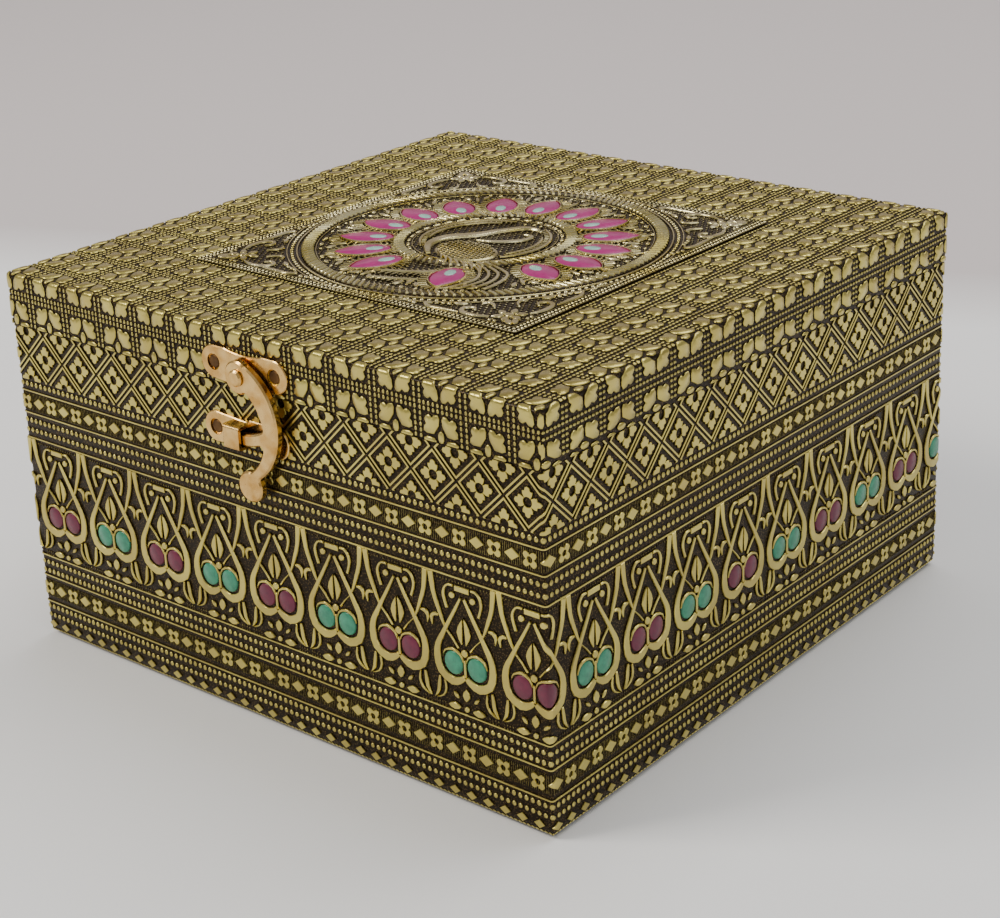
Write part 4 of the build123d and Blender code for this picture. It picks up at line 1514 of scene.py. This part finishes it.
class GIFTBOX_OT_lining(bpy.types.Operator):
    """Line the box and the lid with velvet-covered cards and slats"""

    bl_idname = "giftbox.lining"
    bl_label = "Velvet lining"

    def execute(self, context):
        for node in ("floor_lining", "lid_lining"):
            self.level_card(node, "lid" if node == "lid_lining" else "box")
        for node in ("front_lining", "back_lining", "left_lining", "right_lining"):
            self.upright_card(node, *self.span(node))
        self.slats()
        self.rim_strips()
        return {"FINISHED"}

    def span(self, node):
        """Lowest and highest corners of a node, in millimetres."""
        return tuple(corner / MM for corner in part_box(node))

    def level_card(self, node, body):
        """A card that lies flat."""
        low, high = self.span(node)
        outline = block(low.x, low.y, high.x, high.y)
        upholstered(
            outline, high.z - low.z, CARD_EDGE, lambda points: points + [0, 0, low.z],
            f"{node}_velvet", node, body,
        )

    def upright_card(self, node, low, high, body="box", name=None):
        """A card that stands against a wall."""
        axis = 0 if high.x - low.x > high.y - low.y else 1
        outline = block(low[axis], low.z, high[axis], high.z)
        thickness = high[1 - axis] - low[1 - axis]
        lay = stood_up(axis, low[1 - axis])
        upholstered(outline, thickness, CARD_EDGE, lay, name or f"{node}_velvet", node, body)

    def slats(self):
        """Two slats, notched into each other at the middle."""
        half = SLAT / 2 + SLAT_PLAY
        for axis, node in enumerate(("long_divider", "cross_divider")):
            low, high = self.span(node)
            middle = (low.z + high.z) / 2
            first, last = low[axis], high[axis]
            if axis == 0:
                outline = [(first, low.z), (last, low.z), (last, high.z), (half, high.z)]
                outline += [(half, middle), (-half, middle), (-half, high.z), (first, high.z)]
            else:
                outline = [(first, low.z), (-half, low.z), (-half, middle), (half, middle)]
                outline += [(half, low.z), (last, low.z), (last, high.z), (first, high.z)]
            lay = stood_up(axis, -SLAT / 2)
            upholstered(outline, SLAT, SLAT_EDGE, lay, f"{node}_velvet", node, "box")

    def rim_strips(self):
        """Four strips down the insides of the lid's rails."""
        low, high = self.span("lid_rim_linings")
        thick = RIM_CARD
        x, y = high.x, high.y
        strips = {
            "front": ((-x, -y), (x, thick - y)),
            "back": ((-x, y - thick), (x, y)),
            "left": ((-x, thick - y), (thick - x, y - thick)),
            "right": ((x - thick, thick - y), (x, y - thick)),
        }
        for name, (near, far) in strips.items():
            strip_low, strip_high = Vector((*near, low.z)), Vector((*far, high.z))
            node = "lid_rim_linings" if name == "front" else None
            self.upright_card(node, strip_low, strip_high, "lid", f"lid_{name}_rim_velvet")


class GIFTBOX_OT_base_felt(bpy.types.Operator):
    """Glue the felt paper over the folded sheet under the base"""

    bl_idname = "giftbox.base_felt"
    bl_label = "Base felt"

    def execute(self, context):
        low, high = (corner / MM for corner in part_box("base_paper"))
        paper = upholstered(
            rounded_square(high.x, 2.0), SHEET, 0.12, lambda points: points + [0, 0, low.z],
            "base_felt_paper", "base_paper", "box",
        )
        paper.data.materials[0] = materials["base_felt"]
        return {"FINISHED"}


# The studio


def place_camera(context):
    """The photograph's viewpoint."""
    forward = Vector(CAMERA_FORWARD).normalized()
    right = (Vector(CAMERA_RIGHT) - Vector(CAMERA_RIGHT).dot(forward) * forward).normalized()
    up = right.cross(forward)
    turn = Matrix((right, up, -forward)).transposed()
    bpy.ops.object.camera_add(location=Vector(CAMERA_PLACE) * MM, rotation=turn.to_euler())
    camera = context.object
    camera.name = "photo_camera"
    width, height = PHOTO_SIZE_PX
    camera.data.sensor_width = SENSOR_MM
    camera.data.lens = SENSOR_MM * CAMERA_FOCUS_PX / width
    camera.data.shift_x = (width / 2 - OPTICAL_CENTRE_PX[0]) / width
    camera.data.shift_y = (OPTICAL_CENTRE_PX[1] - height / 2) / width
    camera.data.clip_start = 0.01
    context.scene.camera = camera


def place_floor(context):
    """A sheet of pale paper that sweeps up behind the box."""
    bpy.ops.object.select_all(action="DESELECT")
    bpy.ops.mesh.primitive_plane_add(size=PAPER_WIDTH)
    floor = context.object
    floor.name = "studio_floor"
    for vertex in floor.data.vertices:
        vertex.select = vertex.co.y > 0
    for edge in floor.data.edges:
        edge.select = all(floor.data.vertices[v].select for v in edge.vertices)
    for face in floor.data.polygons:
        face.select = False
    bpy.ops.object.mode_set(mode="EDIT")
    bpy.ops.mesh.select_mode(type="EDGE")
    bpy.ops.mesh.extrude_region_move(TRANSFORM_OT_translate={"value": (0, 0, PAPER_RISE)})
    bpy.ops.mesh.select_mode(type="VERT")
    bpy.ops.object.mode_set(mode="OBJECT")
    floor.data.transform(Matrix.Rotation(math.radians(PAPER_TURN), 4, "Z"))
    sweep = floor.modifiers.new("sweep", "BEVEL")
    sweep.width = PAPER_BEND
    sweep.segments = 12
    only(floor)
    bpy.ops.object.modifier_apply(modifier="sweep")
    bpy.ops.object.shade_smooth()
    floor.data.materials.append(studio_paper(context.scene.gift_box_colours))


def place_lights(context):
    """Large soft lights and an even pale world."""
    for name, place, size, power, colour in LIGHTS:
        aim = (Vector(LIGHTS_AIM) - Vector(place)).to_track_quat("-Z", "Y").to_euler()
        bpy.ops.object.light_add(type="AREA", location=place, rotation=aim)
        light = context.object
        light.name = name
        light.data.size = size
        light.data.energy = power
        light.data.color = linear(colour)[:3]
    world = bpy.data.worlds.new("studio_air")
    world.use_nodes = True
    air = world.node_tree.nodes["Background"]
    air.inputs["Color"].default_value = linear("#DCDCDC")
    air.inputs["Strength"].default_value = 0.6
    context.scene.world = world


class GIFTBOX_OT_studio(bpy.types.Operator):
    """Set up the camera, the pale floor and the soft lights"""

    bl_idname = "giftbox.studio"
    bl_label = "Studio"

    def execute(self, context):
        place_camera(context)
        place_floor(context)
        place_lights(context)
        return {"FINISHED"}


OPERATORS = (
    GIFTBOX_OT_studio,
    GIFTBOX_OT_finishes,
    GIFTBOX_OT_body_sheet,
    GIFTBOX_OT_wall_pearls,
    GIFTBOX_OT_diaper,
    GIFTBOX_OT_wall_bands,
    GIFTBOX_OT_frieze,
    GIFTBOX_OT_lid_flowers,
    GIFTBOX_OT_lid_pearls,
    GIFTBOX_OT_medallion_plate,
    GIFTBOX_OT_medallion_rings,
    GIFTBOX_OT_feathers,
    GIFTBOX_OT_sprigs,
    GIFTBOX_OT_bird,
    GIFTBOX_OT_lining,
    GIFTBOX_OT_base_felt,
)


class GIFTBOX_PT_panel(bpy.types.Panel):
    """Sizes, colours and steps of the gift box"""

    bl_idname = "GIFTBOX_PT_panel"
    bl_label = "Gift box"
    bl_space_type = "VIEW_3D"
    bl_region_type = "UI"
    bl_category = "Gift box"

    def draw(self, context):
        for group in (context.scene.gift_box_sizes, context.scene.gift_box_colours):
            for name in group.bl_rna.properties.keys():
                if name not in ("rna_type", "name"):
                    self.layout.prop(group, name)
        for operator in OPERATORS:
            self.layout.operator(operator.bl_idname)


CLASSES = (GiftBoxSizes, GiftBoxColours, *OPERATORS, GIFTBOX_PT_panel)


def register():
    """Registers the classes and their settings."""
    for item in CLASSES:
        bpy.utils.register_class(item)
    bpy.types.Scene.gift_box_sizes = bpy.props.PointerProperty(type=GiftBoxSizes)
    bpy.types.Scene.gift_box_colours = bpy.props.PointerProperty(type=GiftBoxColours)


def unregister():
    """Takes the classes and their settings out again."""
    del bpy.types.Scene.gift_box_colours
    del bpy.types.Scene.gift_box_sizes
    for item in reversed(CLASSES):
        bpy.utils.unregister_class(item)


def main():
    """Makes the whole object, step by step."""
    register()
    for operator in OPERATORS:
        group, name = operator.bl_idname.split(".")
        getattr(getattr(bpy.ops, group), name)()


if __name__ == "__main__":
    main()
